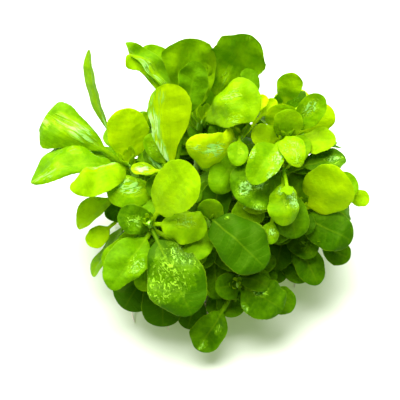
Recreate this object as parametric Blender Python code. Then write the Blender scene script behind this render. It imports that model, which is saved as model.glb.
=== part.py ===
"""A tuft of young cardinal flower plants, picked whole: a flat mat of roots, thirteen leafy
shoots that rise out of it, and the large leaves, each one a piece of its own.

The small leaves of a shoot, and the bud of young leaves at its tip, are one solid with its stem.
Places in the plan are in millimetres. Most are given as seen by someone who looks down at the
tuft at a slope of VIEW_SLOPE degrees: across to the right, up the view, and towards the viewer.
Those of the far side are right, back and up from the middle of the root mat.
"""

from dataclasses import dataclass, replace
from itertools import product
from math import cos, pi, radians, sin

import bmesh
import bpy
import numpy as np
from mathutils import Matrix, Vector
from mathutils.bvhtree import BVHTree

MM = 0.001
VIEW_SLOPE = 50.0
GAP = 0.3
ROOM = GAP * 0.6

# Roots. The edge of the mat is wavy: how many waves go round it, how high they are, and their turn
MAT_RADIUS = 22.0
MAT_HEIGHT = 10.0
MAT_SIDES = 16
MAT_RINGS = 6
MAT_WAVES = [(3, 0.05, 0.5), (7, 0.04, 0.0)]
MAT_ROOM = (1.02, 1.02, 1.04)
ROOT_RADIUS = 0.55
ROOT_END_RADIUS = 0.44
ROOT_END_HEIGHT = 0.58
ROOT_START = 15.0
ROOT_START_HEIGHT = 4.0
ROOT_KNEE_RISE = 2.0
ROOT_LYING = 7.0
ROOT_SIDES = 4

# Stems
STEM_FOOT_RADIUS = 1.4
STEM_CROWN_RADIUS = 1.0
STEM_POINTS = 5
STEM_SIDES = 6
STEM_FOOT_SINK = 0.5
SHELL_SIDES = 8
BUD_RADIUS = 2.0
BUD_LENGTH = 7.0
BUD_RINGS = 4
BUD_OUT = 0.9

# Leaves
STALK_HALF_WIDTH = 0.75
SMALL_STALK_HALF_WIDTH = 0.6
SMALL_WIDTH = 7.0
STALK_HALF_THICKNESS = 0.5
BLADE_HALF_THICKNESS = 0.35
LEAST_STALK = 0.06
STALK_SINK = 0.5
TIP_POWER = 0.5
FLAT_FOLD = 0.0001
FOLD_START = 4
LOWEST = 0.8

# Leaves that fill the tuft between the planned ones
FILL_TURN = 137.5
FILL_SPREAD = 230.0
FILL_START = 0.3
FILL_RUN = 0.6
FILL_STALK = 0.1
FILL_LENGTH = 0.8
FILL_WIDTH = 0.62
FILL_BOW = 2.0
FILL_FOLD = -0.25


def seen(across, rise, toward):
    """A place, or a direction, in right, back and up, from the way the viewer sees it."""
    slope = radians(VIEW_SLOPE)
    back = rise * sin(slope) - toward * cos(slope)
    up = rise * cos(slope) + toward * sin(slope)
    return Vector((across, back, up))


def around(turn, reach, up):
    """A place at this turn in degrees, from the right by way of the back, and this far out."""
    return Vector((reach * cos(radians(turn)), reach * sin(radians(turn)), up))


@dataclass(frozen=True)
class Shoot:
    foot: tuple
    crown: Vector
    lean: float = 2.0


@dataclass(frozen=True)
class Leaf:
    name: str
    shoot: str
    along: float
    tip: Vector
    length: float
    width: float
    facing: Vector
    bow: float = 2.0
    fold: float = 0.25
    taper: float = 0.6
    colour: str = "green"
    slide: float = 0.0


COLOURS = {
    "lime": (0.36, 0.62, 0.01),
    "green": (0.20, 0.46, 0.01),
    "deep": (0.08, 0.25, 0.01),
    "young": (0.55, 0.68, 0.03),
    "stem": (0.30, 0.52, 0.04),
    "root": (0.62, 0.58, 0.42),
}

SHOOTS = {
    "front_left": Shoot((-9, -8), seen(-18.5, 9.5, 33)),
    "left": Shoot((-12, 2), seen(-24, 26, 26)),
    "crest": Shoot((-4, -1), seen(-12.5, 24, 31)),
    "top": Shoot((3, 3), seen(7, 35, 31)),
    "top_back": Shoot((-5, 8), seen(-4, 38, 23)),
    "right_top": Shoot((10, 5), seen(19.5, 34, 29)),
    "middle": Shoot((7, -3), seen(19, 25, 32)),
    "right": Shoot((14, -4), seen(24, 14, 28)),
    "front": Shoot((0, -9), seen(-2, 11, 34)),
    "front_low": Shoot((6, -14), seen(6, -8, 29)),
    "back_left": Shoot((-9, 12), Vector((-19, 22, 31))),
    "back_right": Shoot((9, 12), Vector((18, 23, 32))),
    "back": Shoot((0, 15), Vector((0, 30, 27))),
}

# How many leaves fill each shoot, and how far their tips reach out of the stem
FILLING = {
    "front_left": (3, 13),
    "left": (4, 14),
    "crest": (2, 12),
    "top": (1, 12),
    "top_back": (3, 13),
    "right_top": (4, 15),
    "middle": (2, 13),
    "right": (5, 15),
    "front": (4, 13),
    "front_low": (3, 13),
    "back_left": (5, 16),
    "back_right": (5, 16),
    "back": (5, 16),
}

# Where loose root ends lie on the floor: the turn round the mat, the reach, and which way they point
ROOT_ENDS = [
    (228, 34, 270),
    (245, 31, 270),
    (331, 26, 270),
    (200, 27, 200),
    (15, 30, 20),
    (62, 29, 50),
    (115, 30, 120),
    (160, 31, 170),
]

# Large leaves, the most open ones first, because a later leaf makes way for an earlier one
LARGE_LEAVES = [
    Leaf("leaf_front_1", "front_left", 0.92, seen(-6.5, -17, 40), 23, 17.5, seen(0, 0, 1), 2.5, -0.3,
         taper=0.6, colour="green"),
    Leaf("leaf_front_2", "front_left", 1.0, seen(-6, 24.9, 45), 18, 16, seen(-0.1, 0.3, 1), 2.0, 0.2,
         taper=0.5, colour="lime"),
    Leaf("leaf_front_3", "front_left", 0.85, seen(-29, -9.2, 37), 18, 12.5, seen(-0.1, 0, 1), 2.0, -0.2,
         colour="lime"),
    Leaf("leaf_front_4", "front", 0.95, seen(13.8, -2.5, 41), 21, 16, seen(0.1, 0.1, 1), 2.5, -0.35,
         taper=0.5, colour="deep"),
    Leaf("leaf_left_1", "left", 0.97, seen(-40.3, 18.5, 36), 23, 12, seen(0, 0.5, 0.85), 3.0, -0.4,
         colour="lime"),
    Leaf("leaf_right_1", "right", 0.97, seen(37.8, 22.4, 37), 16, 14.5, seen(0.15, 0.1, 1), 1.5, -0.2,
         taper=0.5, colour="lime"),
    Leaf("leaf_top_1", "top_back", 0.97, seen(13.6, 44, 39), 20, 15, seen(-0.05, 0.3, 1), 4.5, -0.3,
         colour="lime"),
    Leaf("leaf_crest_1", "crest", 1.0, seen(-13.4, 48, 38), 25, 14.5, seen(0.15, 0, 1), 2.0, 0.7,
         colour="lime"),
    Leaf("leaf_left_2", "left", 1.0, seen(-25.5, 41.2, 33), 16, 12, seen(0.1, 0, 1), 1.5, -0.3,
         taper=0.5, colour="lime"),
    Leaf("leaf_left_3", "left", 0.86, seen(-51.8, 20.2, 25), 23, 12.5, seen(0, 0.6, 0.8), 8.5, -0.4,
         colour="lime"),
    Leaf("leaf_left_4", "left", 0.92, seen(-49, 40.7, 24), 20, 14, seen(0, 0.25, 1), 3.0, -0.4,
         colour="green"),
    Leaf("leaf_top_2", "top", 0.97, seen(-7.8, 30.5, 38), 16, 12.5, seen(-0.1, 0, 1), 4.5, -0.6,
         colour="lime"),
    Leaf("leaf_middle_1", "right_top", 0.95, seen(10.9, 21.3, 41), 13.5, 10.5, seen(-0.1, 0.1, 1), 1.5, 0.3,
         taper=0.5, colour="green"),
    Leaf("leaf_middle_2", "middle", 0.96, seen(4, 16.5, 38), 18, 15.5, seen(-0.1, 0.2, 1), 2.0, -0.3,
         colour="green"),
    Leaf("leaf_middle_3", "middle", 1.0, seen(18.8, 8.5, 40), 11.5, 9, seen(0.1, 0.2, 1), 2.0, -0.3,
         colour="green"),
    Leaf("leaf_middle_4", "middle", 0.85, seen(22.5, 5, 35), 13, 11.5, seen(0.1, 0, 1), 1.5, -0.2,
         colour="deep"),
    Leaf("leaf_middle_5", "right_top", 1.0, seen(23.5, 25.2, 40), 11, 8, seen(0, 0.2, 1), 2.0, 0.3,
         colour="lime"),
    Leaf("leaf_top_3", "top", 0.85, seen(0, 18.5, 36), 13.5, 9.5, seen(0.1, 0.1, 1), 2.0, -0.3,
         colour="green"),
    Leaf("leaf_front_5", "front_left", 0.97, seen(-2.2, 7.5, 38), 13, 10, seen(0, 0.15, 1), 2.0, -0.4,
         colour="green"),
    Leaf("leaf_left_5", "left", 1.0, seen(-34.7, 58, 28), 25, 8.5, seen(-0.9, 0, 0.45), 1.5, 0.4,
         colour="green"),
    Leaf("leaf_back_1", "top_back", 1.0, seen(-8.1, 61, 28), 20, 14, seen(0, 0, 1), -2.0, 0.3,
         colour="green"),
    Leaf("leaf_back_2", "top_back", 0.92, seen(9.5, 62, 28), 21, 15, seen(0.2, -0.1, 1), -3.5, 0.6,
         colour="deep"),
    Leaf("leaf_back_3", "crest", 0.92, seen(-6, 54.4, 33), 15, 10.5, seen(0.1, -0.1, 1), 1.0, 0.4,
         colour="deep"),
    Leaf("leaf_back_4", "top_back", 0.9, seen(-25.2, 60, 25), 19, 8.5, seen(0.2, 0.7, 0.6), 2.0, 0.4,
         colour="green"),
    Leaf("leaf_back_5", "top_back", 0.8, seen(-25.2, 55, 29), 16, 7.5, seen(0, 0.5, 0.85), 2.0, -0.3,
         colour="lime"),
    Leaf("leaf_right_2", "right_top", 0.97, seen(30, 44.2, 33), 12, 9.5, seen(0, 0.1, 1), 1.5, 0.4,
         colour="green"),
    Leaf("leaf_right_3", "right_top", 0.85, seen(33.9, 32.5, 30), 11, 8, seen(0, 0.5, 0.85), 1.5, 0.2,
         colour="lime"),
    Leaf("leaf_right_4", "right", 0.85, seen(37.5, 3.5, 31), 15, 13, seen(0.2, 0, 1), 2.0, -0.3,
         colour="deep"),
    Leaf("leaf_right_5", "right", 0.6, seen(28.3, -8.7, 25), 13.5, 10, seen(0.1, -0.1, 1), 1.5, 0.2,
         colour="deep"),
    Leaf("leaf_top_4", "right_top", 0.9, seen(19, 42.6, 31), 10, 9.5, seen(-0.1, 0, 1), 1.0, 0.2,
         colour="lime"),
    Leaf("leaf_top_5", "back_right", 1.0, seen(21.3, 51.2, 24), 10, 8.5, seen(0.1, 0, 1), 1.0, 0.3,
         colour="green"),
    Leaf("leaf_low_1", "front_low", 0.8, seen(-3, -26.9, 31), 12.5, 10.8, seen(0, -0.2, 1), 1.5, 0.4,
         colour="green"),
    Leaf("leaf_low_2", "front_low", 1.0, seen(19.5, -14.5, 32), 15.5, 13, seen(0, 0.2, 1), 3.0, -0.4,
         colour="green"),
    Leaf("leaf_low_3", "front_left", 0.45, seen(-25, -15, 25), 17, 14, seen(-0.2, -0.1, 1), 2.0, -0.2,
         colour="deep"),
    Leaf("leaf_left_6", "left", 0.6, seen(-38.6, 7.6, 22), 12, 7.5, seen(-0.5, 0.4, 0.75), 4.0, 0.3,
         colour="lime"),
    Leaf("leaf_left_7", "left", 0.45, seen(-32, -6.5, 19), 16, 8.5, seen(-0.85, 0, 0.5), 2.0, 0.2,
         colour="green"),
    Leaf("leaf_far_1", "back_left", 0.97, around(140, 38, 30), 18, 13, Vector((-0.5, 0.4, 1)), 2.5, -0.3,
         colour="green"),
    Leaf("leaf_far_2", "back_left", 0.8, around(128, 42, 22), 18, 13, Vector((-0.6, 0.7, 0.6)), 2.5, -0.3,
         colour="deep"),
    Leaf("leaf_far_3", "back", 1.0, around(100, 42, 32), 18, 13, Vector((-0.1, 0.8, 0.8)), 2.5, -0.3,
         colour="green"),
    Leaf("leaf_far_4", "back", 0.75, around(112, 41, 12), 17, 12, Vector((-0.2, 1, 0.4)), 2.5, -0.3,
         colour="deep"),
    Leaf("leaf_far_5", "back", 0.85, around(72, 42, 19), 18, 13, Vector((0.3, 1, 0.5)), 2.5, -0.3,
         colour="green"),
    Leaf("leaf_far_6", "back_right", 0.97, around(52, 42, 34), 17, 12.5, Vector((0.5, 0.6, 0.9)), 2.5,
         -0.3, colour="lime"),
    Leaf("leaf_far_7", "back_right", 0.8, around(33, 42, 23), 18, 13, Vector((0.8, 0.5, 0.6)), 2.5, -0.3,
         colour="green"),
    Leaf("leaf_far_8", "right", 0.7, around(8, 38.5, 17), 16, 12, Vector((0.9, 0.2, 0.6)), 2.5, -0.3,
         colour="deep"),
    Leaf("leaf_far_9", "back_left", 0.6, around(165, 41, 18), 16, 12, Vector((-1, 0.2, 0.6)), 2.5, -0.3,
         colour="green"),
    Leaf("leaf_far_10", "back_left", 1.0, around(118, 34, 46), 15, 11, Vector((-0.3, 0.5, 1)), 2.0, 0.3,
         colour="lime"),
]

# Small leaves, which are one solid with the stem that they grow from
SMALL_LEAVES = [
    Leaf("1", "crest", 0.8, seen(-30.2, 17.5, 33), 14, 10, seen(0, 0.3, 0.95), 1.5, -0.2),
    Leaf("2", "middle", 0.9, seen(7.8, 13.2, 35.5), 14, 12, seen(-0.1, 0.2, 1), 2.0, -0.3, colour="lime"),
    Leaf("3", "right_top", 0.95, seen(21, 41, 34.5), 9, 8.5, seen(0.1, -0.1, 1), 1.0, 0.2),
    Leaf("4", "middle", 0.93, seen(36.7, 27.4, 28), 12, 8, seen(0, 0.6, 0.8), 1.5, 0.3, colour="deep"),
    Leaf("5", "right_top", 0.9, seen(33, 41.4, 27), 10.5, 8.5, seen(0.1, 0.2, 1), 1.5, -0.3,
         colour="young"),
    Leaf("6", "front_left", 0.5, seen(-14.6, -19.9, 27), 14, 12.5, seen(0, -0.3, 1), 1.5, colour="deep"),
    Leaf("7", "front", 0.4, seen(-7.8, -20.7, 23), 10, 8, seen(0, -0.3, 1), 1.0, colour="deep"),
    Leaf("8", "front", 0.7, seen(0, 16, 38), 10, 8.5, seen(0, -0.1, 1), 1.0, -0.2),
    Leaf("9", "front_left", 0.85, seen(-2.5, -1, 35), 12, 9, seen(0.1, 0.1, 1), 1.5),
    Leaf("10", "top", 0.95, seen(6, 27.5, 38), 7.5, 6, seen(0, 0.1, 1), 0.8),
    Leaf("11", "middle", 1.0, seen(20.2, 17, 43), 4, 3.8, seen(0, 0.5, 0.8), 0.5, 0.6, colour="young"),
    Leaf("12", "middle", 0.9, seen(6.2, 8.5, 34), 10.5, 9, seen(0, 0.1, 1), 1.0),
    Leaf("13", "middle", 0.95, seen(14.6, 3.4, 38), 6.5, 5.3, seen(0, 0.1, 1), 0.8, -0.3, colour="deep"),
    Leaf("14", "right", 0.9, seen(39.8, 21.3, 29), 10, 8.5, seen(0.2, 0.3, 0.9), 1.0),
    Leaf("15", "right", 0.93, seen(43.4, 16.5, 27), 5.5, 5, seen(0.1, 0.1, 1), 1.0, colour="lime"),
    Leaf("16", "right", 0.55, seen(38, -1, 24), 8.5, 7.5, seen(0.3, 0, 1), 1.0, colour="deep"),
    Leaf("17", "front_low", 0.85, seen(22.6, -14, 27), 10, 8, seen(0.2, 0, 1), 1.0),
    Leaf("18", "top_back", 0.95, seen(-19.6, 59.5, 22), 15, 10, seen(0.2, 0.2, 0.9), 1.5),
    Leaf("19", "top", 1.0, seen(11.8, 53.2, 26), 10, 6.5, seen(0.4, 0, 0.9), 1.0, colour="lime"),
    Leaf("20", "top", 1.0, seen(14.3, 45, 29), 6, 4, seen(0, 0, 1), 0.5, 0.4, colour="young"),
    Leaf("21", "top", 0.93, seen(17, 44, 27), 6, 4, seen(0, 0, 1), 0.5, 0.4, colour="young"),
    Leaf("22", "left", 0.5, seen(-34, 3, 24), 8, 6, seen(-0.3, 0, 1), 1.0, colour="lime"),
    Leaf("23", "front_left", 0.7, seen(-31, -3, 31), 13, 9, seen(-0.3, 0, 1), 1.5),
    Leaf("24", "front_left", 0.75, seen(-20.2, -9.8, 32), 10, 7, seen(0, 0, 1), 1.0),
    Leaf("25", "front_low", 0.6, seen(3, -17, 28), 11, 9, seen(0, -0.1, 1), 1.0, colour="deep"),
    Leaf("26", "front_low", 0.9, seen(0, -9, 33), 10, 8, seen(-0.2, 0, 1), 1.0, colour="deep"),
    Leaf("27", "crest", 0.95, seen(-23.5, 24.5, 33), 7, 4, seen(0, 0.3, 1), 0.8, 0.5, colour="lime"),
    Leaf("28", "crest", 0.9, seen(-19, 31, 28), 10, 7, seen(0.2, 0, 1), 1.0, colour="deep"),
    Leaf("29", "crest", 0.85, seen(-4, 15.5, 32), 10, 6, seen(0, 0.1, 1), 1.0, colour="deep"),
    Leaf("30", "right", 0.5, seen(17, -4, 24), 11, 8, seen(0, 0, 1), 1.0, colour="deep"),
    Leaf("31", "right", 0.95, seen(26, 6, 31), 7, 6, seen(0.1, 0, 1), 1.0, colour="deep"),
    Leaf("32", "back_right", 0.9, around(45, 34, 44), 12, 9, Vector((0.4, 0.4, 1)), 1.5),
    Leaf("33", "back_left", 0.9, around(140, 36, 12), 12, 10, Vector((-0.6, 0.6, 0.5)), 1.5),
    Leaf("34", "back", 0.9, around(86, 38, 40), 12, 9, Vector((0, 0.6, 0.8)), 1.5),
    Leaf("35", "back", 0.6, around(90, 36, 10), 12, 9, Vector((0, 1, 0.5)), 1.5, colour="deep"),
    Leaf("36", "back_right", 0.6, around(50, 38, 12), 13, 10, Vector((0.6, 0.8, 0.4)), 1.5, colour="deep"),
    Leaf("37", "back_right", 0.7, around(20, 38, 32), 13, 10, Vector((0.8, 0.3, 0.7)), 1.5),
    Leaf("38", "back_left", 0.9, around(172, 36, 32), 13, 9, Vector((-0.8, 0, 0.8)), 1.5),
    Leaf("39", "top", 0.9, seen(6, 37.5, 34), 9, 7, seen(0, 0.2, 1), 0.8, -0.2),
    Leaf("40", "right_top", 0.92, seen(10, 34, 35), 9, 7.5, seen(0, 0.1, 1), 0.8, 0.2, colour="lime"),
    Leaf("41", "front_left", 0.9, seen(-27, 12, 34), 12, 8.5, seen(-0.1, 0.1, 1), 1.0, colour="deep"),
    Leaf("42", "crest", 0.75, seen(-20, 19, 29), 11, 8, seen(-0.1, 0.1, 1), 1.0, colour="deep"),
    Leaf("43", "crest", 0.97, seen(-18.5, 34, 32), 9, 6, seen(0.2, 0, 1), 0.8, colour="green"),
    Leaf("44", "front", 0.6, seen(1, -12, 29), 12, 9, seen(0, -0.1, 1), 1.0, colour="deep"),
    Leaf("45", "front_low", 0.75, seen(14, -7, 31), 11, 9, seen(0.1, 0, 1), 1.0, colour="deep"),
    Leaf("46", "right", 0.85, seen(24, 24, 30), 10, 7.5, seen(0, 0.2, 1), 1.0, colour="deep"),
    Leaf("47", "top", 0.7, seen(2, 22, 31), 11, 8, seen(0, 0, 1), 1.0, colour="deep"),
    Leaf("48", "middle", 0.7, seen(10, 12, 28), 12, 9, seen(0, 0, 1), 1.0, colour="deep"),
    Leaf("49", "top_back", 0.85, seen(-6, 32, 30), 10, 7, seen(0, 0, 1), 1.0, colour="deep"),
    Leaf("50", "right", 0.4, seen(24, -2, 20), 12, 9, seen(0.1, 0, 1), 1.0, colour="deep"),
    Leaf("51", "front_left", 0.6, seen(-28, 2, 28), 12, 9, seen(-0.2, 0, 1), 1.0, colour="green"),
    Leaf("52", "top", 0.5, seen(4, 17, 26), 12, 9, seen(0, 0, 1), 1.0, colour="deep"),
    Leaf("53", "front", 0.85, seen(1.5, 21, 30), 12, 9, seen(0, 0, 1), 1.0, colour="deep"),
    Leaf("54", "right", 0.6, seen(28, -1, 25), 12, 9, seen(0.1, 0, 1), 1.0, colour="deep"),
    Leaf("55", "right", 0.25, seen(17, -8, 20), 12, 9, seen(0, 0, 1), 1.0, colour="deep"),
    Leaf("56", "back_left", 0.95, around(112, 26, 44), 14, 10, Vector((-0.2, 0.5, 1)), 1.5),
    Leaf("57", "back", 0.97, Vector((0, 27, 45)), 15, 11, Vector((0, 0.7, 1)), 1.5, colour="lime"),
    Leaf("58", "back_right", 0.95, around(70, 27, 45), 14, 10, Vector((0.2, 0.5, 1)), 1.5),
    Leaf("59", "back", 0.8, around(78, 37, 31), 13, 10, Vector((0.3, 0.8, 0.8)), 1.5),
    Leaf("60", "back", 0.9, around(106, 34, 36), 13, 10, Vector((-0.3, 0.8, 0.8)), 1.5),
    Leaf("61", "back", 0.97, around(95, 22, 40), 13, 10, Vector((0, 0.2, 1)), 1.5),
    Leaf("62", "middle", 0.97, seen(26, 33, 30), 10, 7, seen(0, 0.2, 1), 1.0, colour="green"),
    Leaf("63", "back_left", 0.97, Vector((-6, 20, 37)), 13, 10, Vector((0.2, 0.3, 1)), 1.5),
    Leaf("64", "back_right", 0.97, Vector((7, 21, 38)), 13, 10, Vector((-0.2, 0.3, 1)), 1.5),
    Leaf("65", "back", 0.8, Vector((0, 14, 30)), 14, 10, Vector((0, 0.1, 1)), 1.5, colour="deep"),
]


def shape_across(share, taper):
    """Half of the blade's width along it, as a share of its widest: wedge at the base, round at the tip."""
    widest = taper / (taper + TIP_POWER)
    peak = widest**taper * (1 - widest) ** TIP_POWER
    return share**taper * (1 - share) ** TIP_POWER / peak


class Blank:
    """A sphere that is drawn out into a leaf: one pole is its base, the other its tip.

    Each vertex knows its level, which counts the steps from the base, and its angle round the
    leaf's section, 0 and half a turn being the two edges of the blade.
    """

    def __init__(self, steps, sides, stalk_shares):
        self.steps = steps
        self.sides = sides
        self.stalk_shares = np.array(stalk_shares)
        made = self.sphere()
        places = np.array([vertex.co for vertex in made.verts])
        self.level = np.rint(np.arccos(np.clip(-places[:, 2], -1, 1)) / pi * steps).astype(int)
        self.angle = np.arctan2(places[:, 1], places[:, 0])
        self.faces = [[vertex.index for vertex in face.verts] for face in made.faces]
        self.blade = [face for face in self.faces if self.level[face].min() > 0]
        made.free()

    def sphere(self):
        made = bmesh.new()
        bmesh.ops.create_uvsphere(made, u_segments=self.sides, v_segments=self.steps, radius=1)
        made.verts.index_update()
        return made

    def rows(self, stalk):
        """How far along the leaf each vertex is. The steps of the blade close up towards its tip."""
        last = len(self.stalk_shares) - 1
        on_stalk = stalk * self.stalk_shares[np.minimum(self.level, last)]
        blade_step = np.maximum(self.level - last, 0) / (self.steps - last)
        return on_stalk + (1 - stalk) * np.sin(blade_step * pi / 2)


LARGE = Blank(6, 6, (0, 1))
SMALL = Blank(5, 4, (0, 1))


class Piece:
    """What is already in place: a shell that later leaves keep clear of.

    Leaves of one shoot may meet where they grow out of the stem, but not with their blades.
    """

    def __init__(self, owner, points, faces, blade=()):
        self.owner = owner
        self.low = points.min(axis=0)
        self.high = points.max(axis=0)
        self.tree = BVHTree.FromPolygons(points.tolist(), faces)
        self.blade = BVHTree.FromPolygons(points.tolist(), blade) if len(blade) else None

    def meets(self, other):
        if (self.low > other.high).any() or (other.low > self.high).any():
            return False
        if self.owner != other.owner:
            return bool(self.tree.overlap(other.tree))
        return bool(self.blade and other.blade and self.blade.overlap(other.blade))


def mat_top(place):
    """The height of the root mat at a place, millimetres."""
    out = (Vector(place[:2]).length / MAT_RADIUS) ** 2
    return MAT_HEIGHT * max(0.0, 1 - out) ** 0.5


def stem_axis(shoot, share):
    """The middle of the stem: from its foot on the mat to its crown, bowed outwards at first."""
    plan = SHOOTS[shoot]
    foot = Vector((plan.foot[0], plan.foot[1], mat_top(plan.foot) + GAP + STEM_FOOT_RADIUS * STEM_FOOT_SINK))
    middle = (foot + plan.crown) / 2
    outward = Vector((middle.x, middle.y, 0)).normalized() * plan.lean
    bend = middle + outward - Vector((0, 0, plan.lean))
    return foot * (1 - share) ** 2 + bend * 2 * share * (1 - share) + plan.crown * share**2


def stem_run(shoot, share):
    """The direction of the stem."""
    return (stem_axis(shoot, share + 0.01) - stem_axis(shoot, share - 0.01)).normalized()


def stem_radius(share):
    return STEM_FOOT_RADIUS + (STEM_CROWN_RADIUS - STEM_FOOT_RADIUS) * share


def leaf_base(leaf, inside):
    """Where the stalk starts: clear of the stem, or behind its middle for a leaf that is one with it."""
    run = stem_run(leaf.shoot, leaf.along)
    axis = stem_axis(leaf.shoot, leaf.along) + run * leaf.slide
    side = leaf.tip - axis
    side = (side - run * side.dot(run)).normalized()
    radius = stem_radius(leaf.along)
    return axis + side * (-STALK_SINK * radius if inside else radius + GAP)


def leaf_points(leaf, blank, inside=False, room=0.0):
    """Where the vertices of the blank go, each surface pushed outwards by the room.

    The midrib is a Bezier curve from base to tip, raised by the bow towards the side that the
    leaf faces. Each section is a thin oval, bent into an arc whose half angle is the fold.
    """
    base = leaf_base(leaf, inside)
    chord = leaf.tip - base
    reach = chord.length
    along = chord.normalized()
    normal = (leaf.facing - along * leaf.facing.dot(along)).normalized()
    side = np.array(normal.cross(along))
    stalk = max(LEAST_STALK, 1 - leaf.length / reach)
    run = np.array([0.0, 0.3, 0.7, 1.0]) * reach
    rise = np.array([0.0, 1.0, 1.0, 0.0]) * leaf.bow * 4 / 3
    rows = blank.rows(stalk)
    u = rows[:, None]
    weights = np.hstack([(1 - u) ** 3, 3 * u * (1 - u) ** 2, 3 * u**2 * (1 - u), u**3])
    slopes = np.hstack([-3 * (1 - u) ** 2, 3 * (1 - u) * (1 - 3 * u), 3 * u * (2 - 3 * u), 3 * u**2])
    middle = np.array(base) + np.outer(weights @ run, along) + np.outer(weights @ rise, normal)
    tangent = np.outer(slopes @ run, along) + np.outer(slopes @ rise, normal)
    tangent /= np.linalg.norm(tangent, axis=1, keepdims=True)
    upward = np.cross(tangent, side)
    share = np.clip((rows - stalk) / (1 - stalk), 0, 1)
    pole = (blank.level == 0) | (blank.level == blank.steps)
    narrow = STALK_HALF_WIDTH if leaf.width > SMALL_WIDTH else SMALL_STALK_HALF_WIDTH
    half = np.maximum(leaf.width / 2 * shape_across(share, leaf.taper), narrow * (1 - share) ** 0.5) + room
    thick = BLADE_HALF_THICKNESS + (STALK_HALF_THICKNESS - BLADE_HALF_THICKNESS) * (1 - share) ** 4 + room
    half = np.where(pole, 0, half)
    thick = np.where(pole, 0, thick)
    bend = leaf.fold * np.minimum(1, share * FOLD_START)
    bend = np.where(np.abs(bend) < FLAT_FOLD, FLAT_FOLD, bend)
    angle = bend * np.cos(blank.angle)
    across = half * np.sin(angle) / bend
    lift = half * (1 - np.cos(angle)) / bend + thick * np.sin(blank.angle)
    ends = np.where(pole, np.where(blank.level == 0, -room, room), 0)
    return middle + np.outer(across, side) + lift[:, None] * upward + ends[:, None] * tangent


def room_trials():
    """Small changes that a leaf tries until it has room, the least first."""
    lifts = (0, 1.5, -1.5, 3, -3, 4.5, -4.5, 6, -6, 8, -8)
    rolls = (0, 12, -12, 24, -24, 36, -36)
    slides = (0, -1.5, 1.5, -3, -4.5, -6, -8)
    swings = (0, 1.5, -1.5, 3, -3)
    bows = (0, 1.5, -1.5, 3)

    def effort(trial):
        lift, roll, slide, swing, bow = trial
        return abs(lift) / 2 + abs(roll) / 14 + abs(slide) / 4 + abs(swing) + abs(bow) / 2

    return sorted(product(lifts, rolls, slides, swings, bows), key=effort)


TRIALS = room_trials()
FILL_TRIALS = 400


def changed(leaf, trial):
    """The leaf lifted, rolled, moved along its stem, swung sideways or bowed a little more."""
    lift, roll, slide, swing, bow = trial
    along = (leaf.tip - stem_axis(leaf.shoot, leaf.along)).normalized()
    normal = (leaf.facing - along * leaf.facing.dot(along)).normalized()
    turn = Matrix.Rotation(radians(roll), 3, along)
    return replace(
        leaf,
        tip=leaf.tip + normal * lift + along.cross(normal) * swing,
        facing=turn @ leaf.facing,
        slide=leaf.slide + slide,
        bow=leaf.bow + bow,
    )


def settled(leaf, blank, placed, owner, trials):
    """The leaf with the least change that keeps it clear of what is in place, or None."""
    inside = owner == leaf.shoot
    for trial in trials:
        moved = changed(leaf, trial)
        points = leaf_points(moved, blank, inside, ROOM)
        if points[:, 2].min() < LOWEST:
            continue
        shell = Piece(owner, points, blank.faces, blank.blade)
        if not any(shell.meets(other) for other in placed):
            return moved, shell
    return None


def fill_leaves(name):
    """Leaves set round a stem at the angle of a spiral, on the side that looks out of the tuft."""
    count, reach = FILLING[name]
    crown = SHOOTS[name].crown
    outward = np.degrees(np.arctan2(crown.y, crown.x))
    for number in range(count):
        along = FILL_START + FILL_RUN * (number + 0.5) / count
        turn = outward + FILL_SPREAD * ((number * FILL_TURN / 360 + FILL_START) % 1 - 0.5)
        out = around(turn, 1, 0)
        rise = Vector((0, 0, 1))
        tip = stem_axis(name, along) + out * reach + rise * reach * (along - 0.5)
        colour = "deep" if along < FILL_RUN else "green"
        yield Leaf(f"fill {number}", name, along - FILL_STALK, tip, reach * FILL_LENGTH, reach * FILL_WIDTH,
                   rise + out * 0.5, FILL_BOW, FILL_FOLD, colour=colour)


def new_collection(name, hidden=False):
    collection = bpy.data.collections.new(name)
    collection.hide_render = hidden
    bpy.context.scene.collection.children.link(collection)
    return collection


def material(name):
    found = bpy.data.materials.get(name)
    if found:
        return found
    made = bpy.data.materials.new(name)
    made.use_nodes = True
    shader = made.node_tree.nodes["Principled BSDF"]
    shader.inputs["Base Color"].default_value = (*COLOURS[name], 1)
    shader.inputs["Roughness"].default_value = 0.7 if name == "root" else 0.35
    shader.inputs["Metallic"].default_value = 0
    return made


def add_object(name, mesh, collection, colour):
    made = bpy.data.objects.new(name, mesh)
    mesh.materials.append(material(colour))
    mesh.shade_smooth()
    collection.objects.link(made)
    return made


def add_helper(name, mesh, collection, colour):
    """An object that a Boolean joins to another, and that is left out of the model itself."""
    made = add_object(name, mesh, collection, colour)
    made.hide_render = True
    made.display_type = "WIRE"
    return made


def leaf_mesh(name, leaf, blank, inside=False):
    made = blank.sphere()
    for vertex, point in zip(made.verts, leaf_points(leaf, blank, inside) * MM):
        vertex.co = point
    mesh = bpy.data.meshes.new(name)
    made.to_mesh(mesh)
    made.free()
    return mesh


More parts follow.
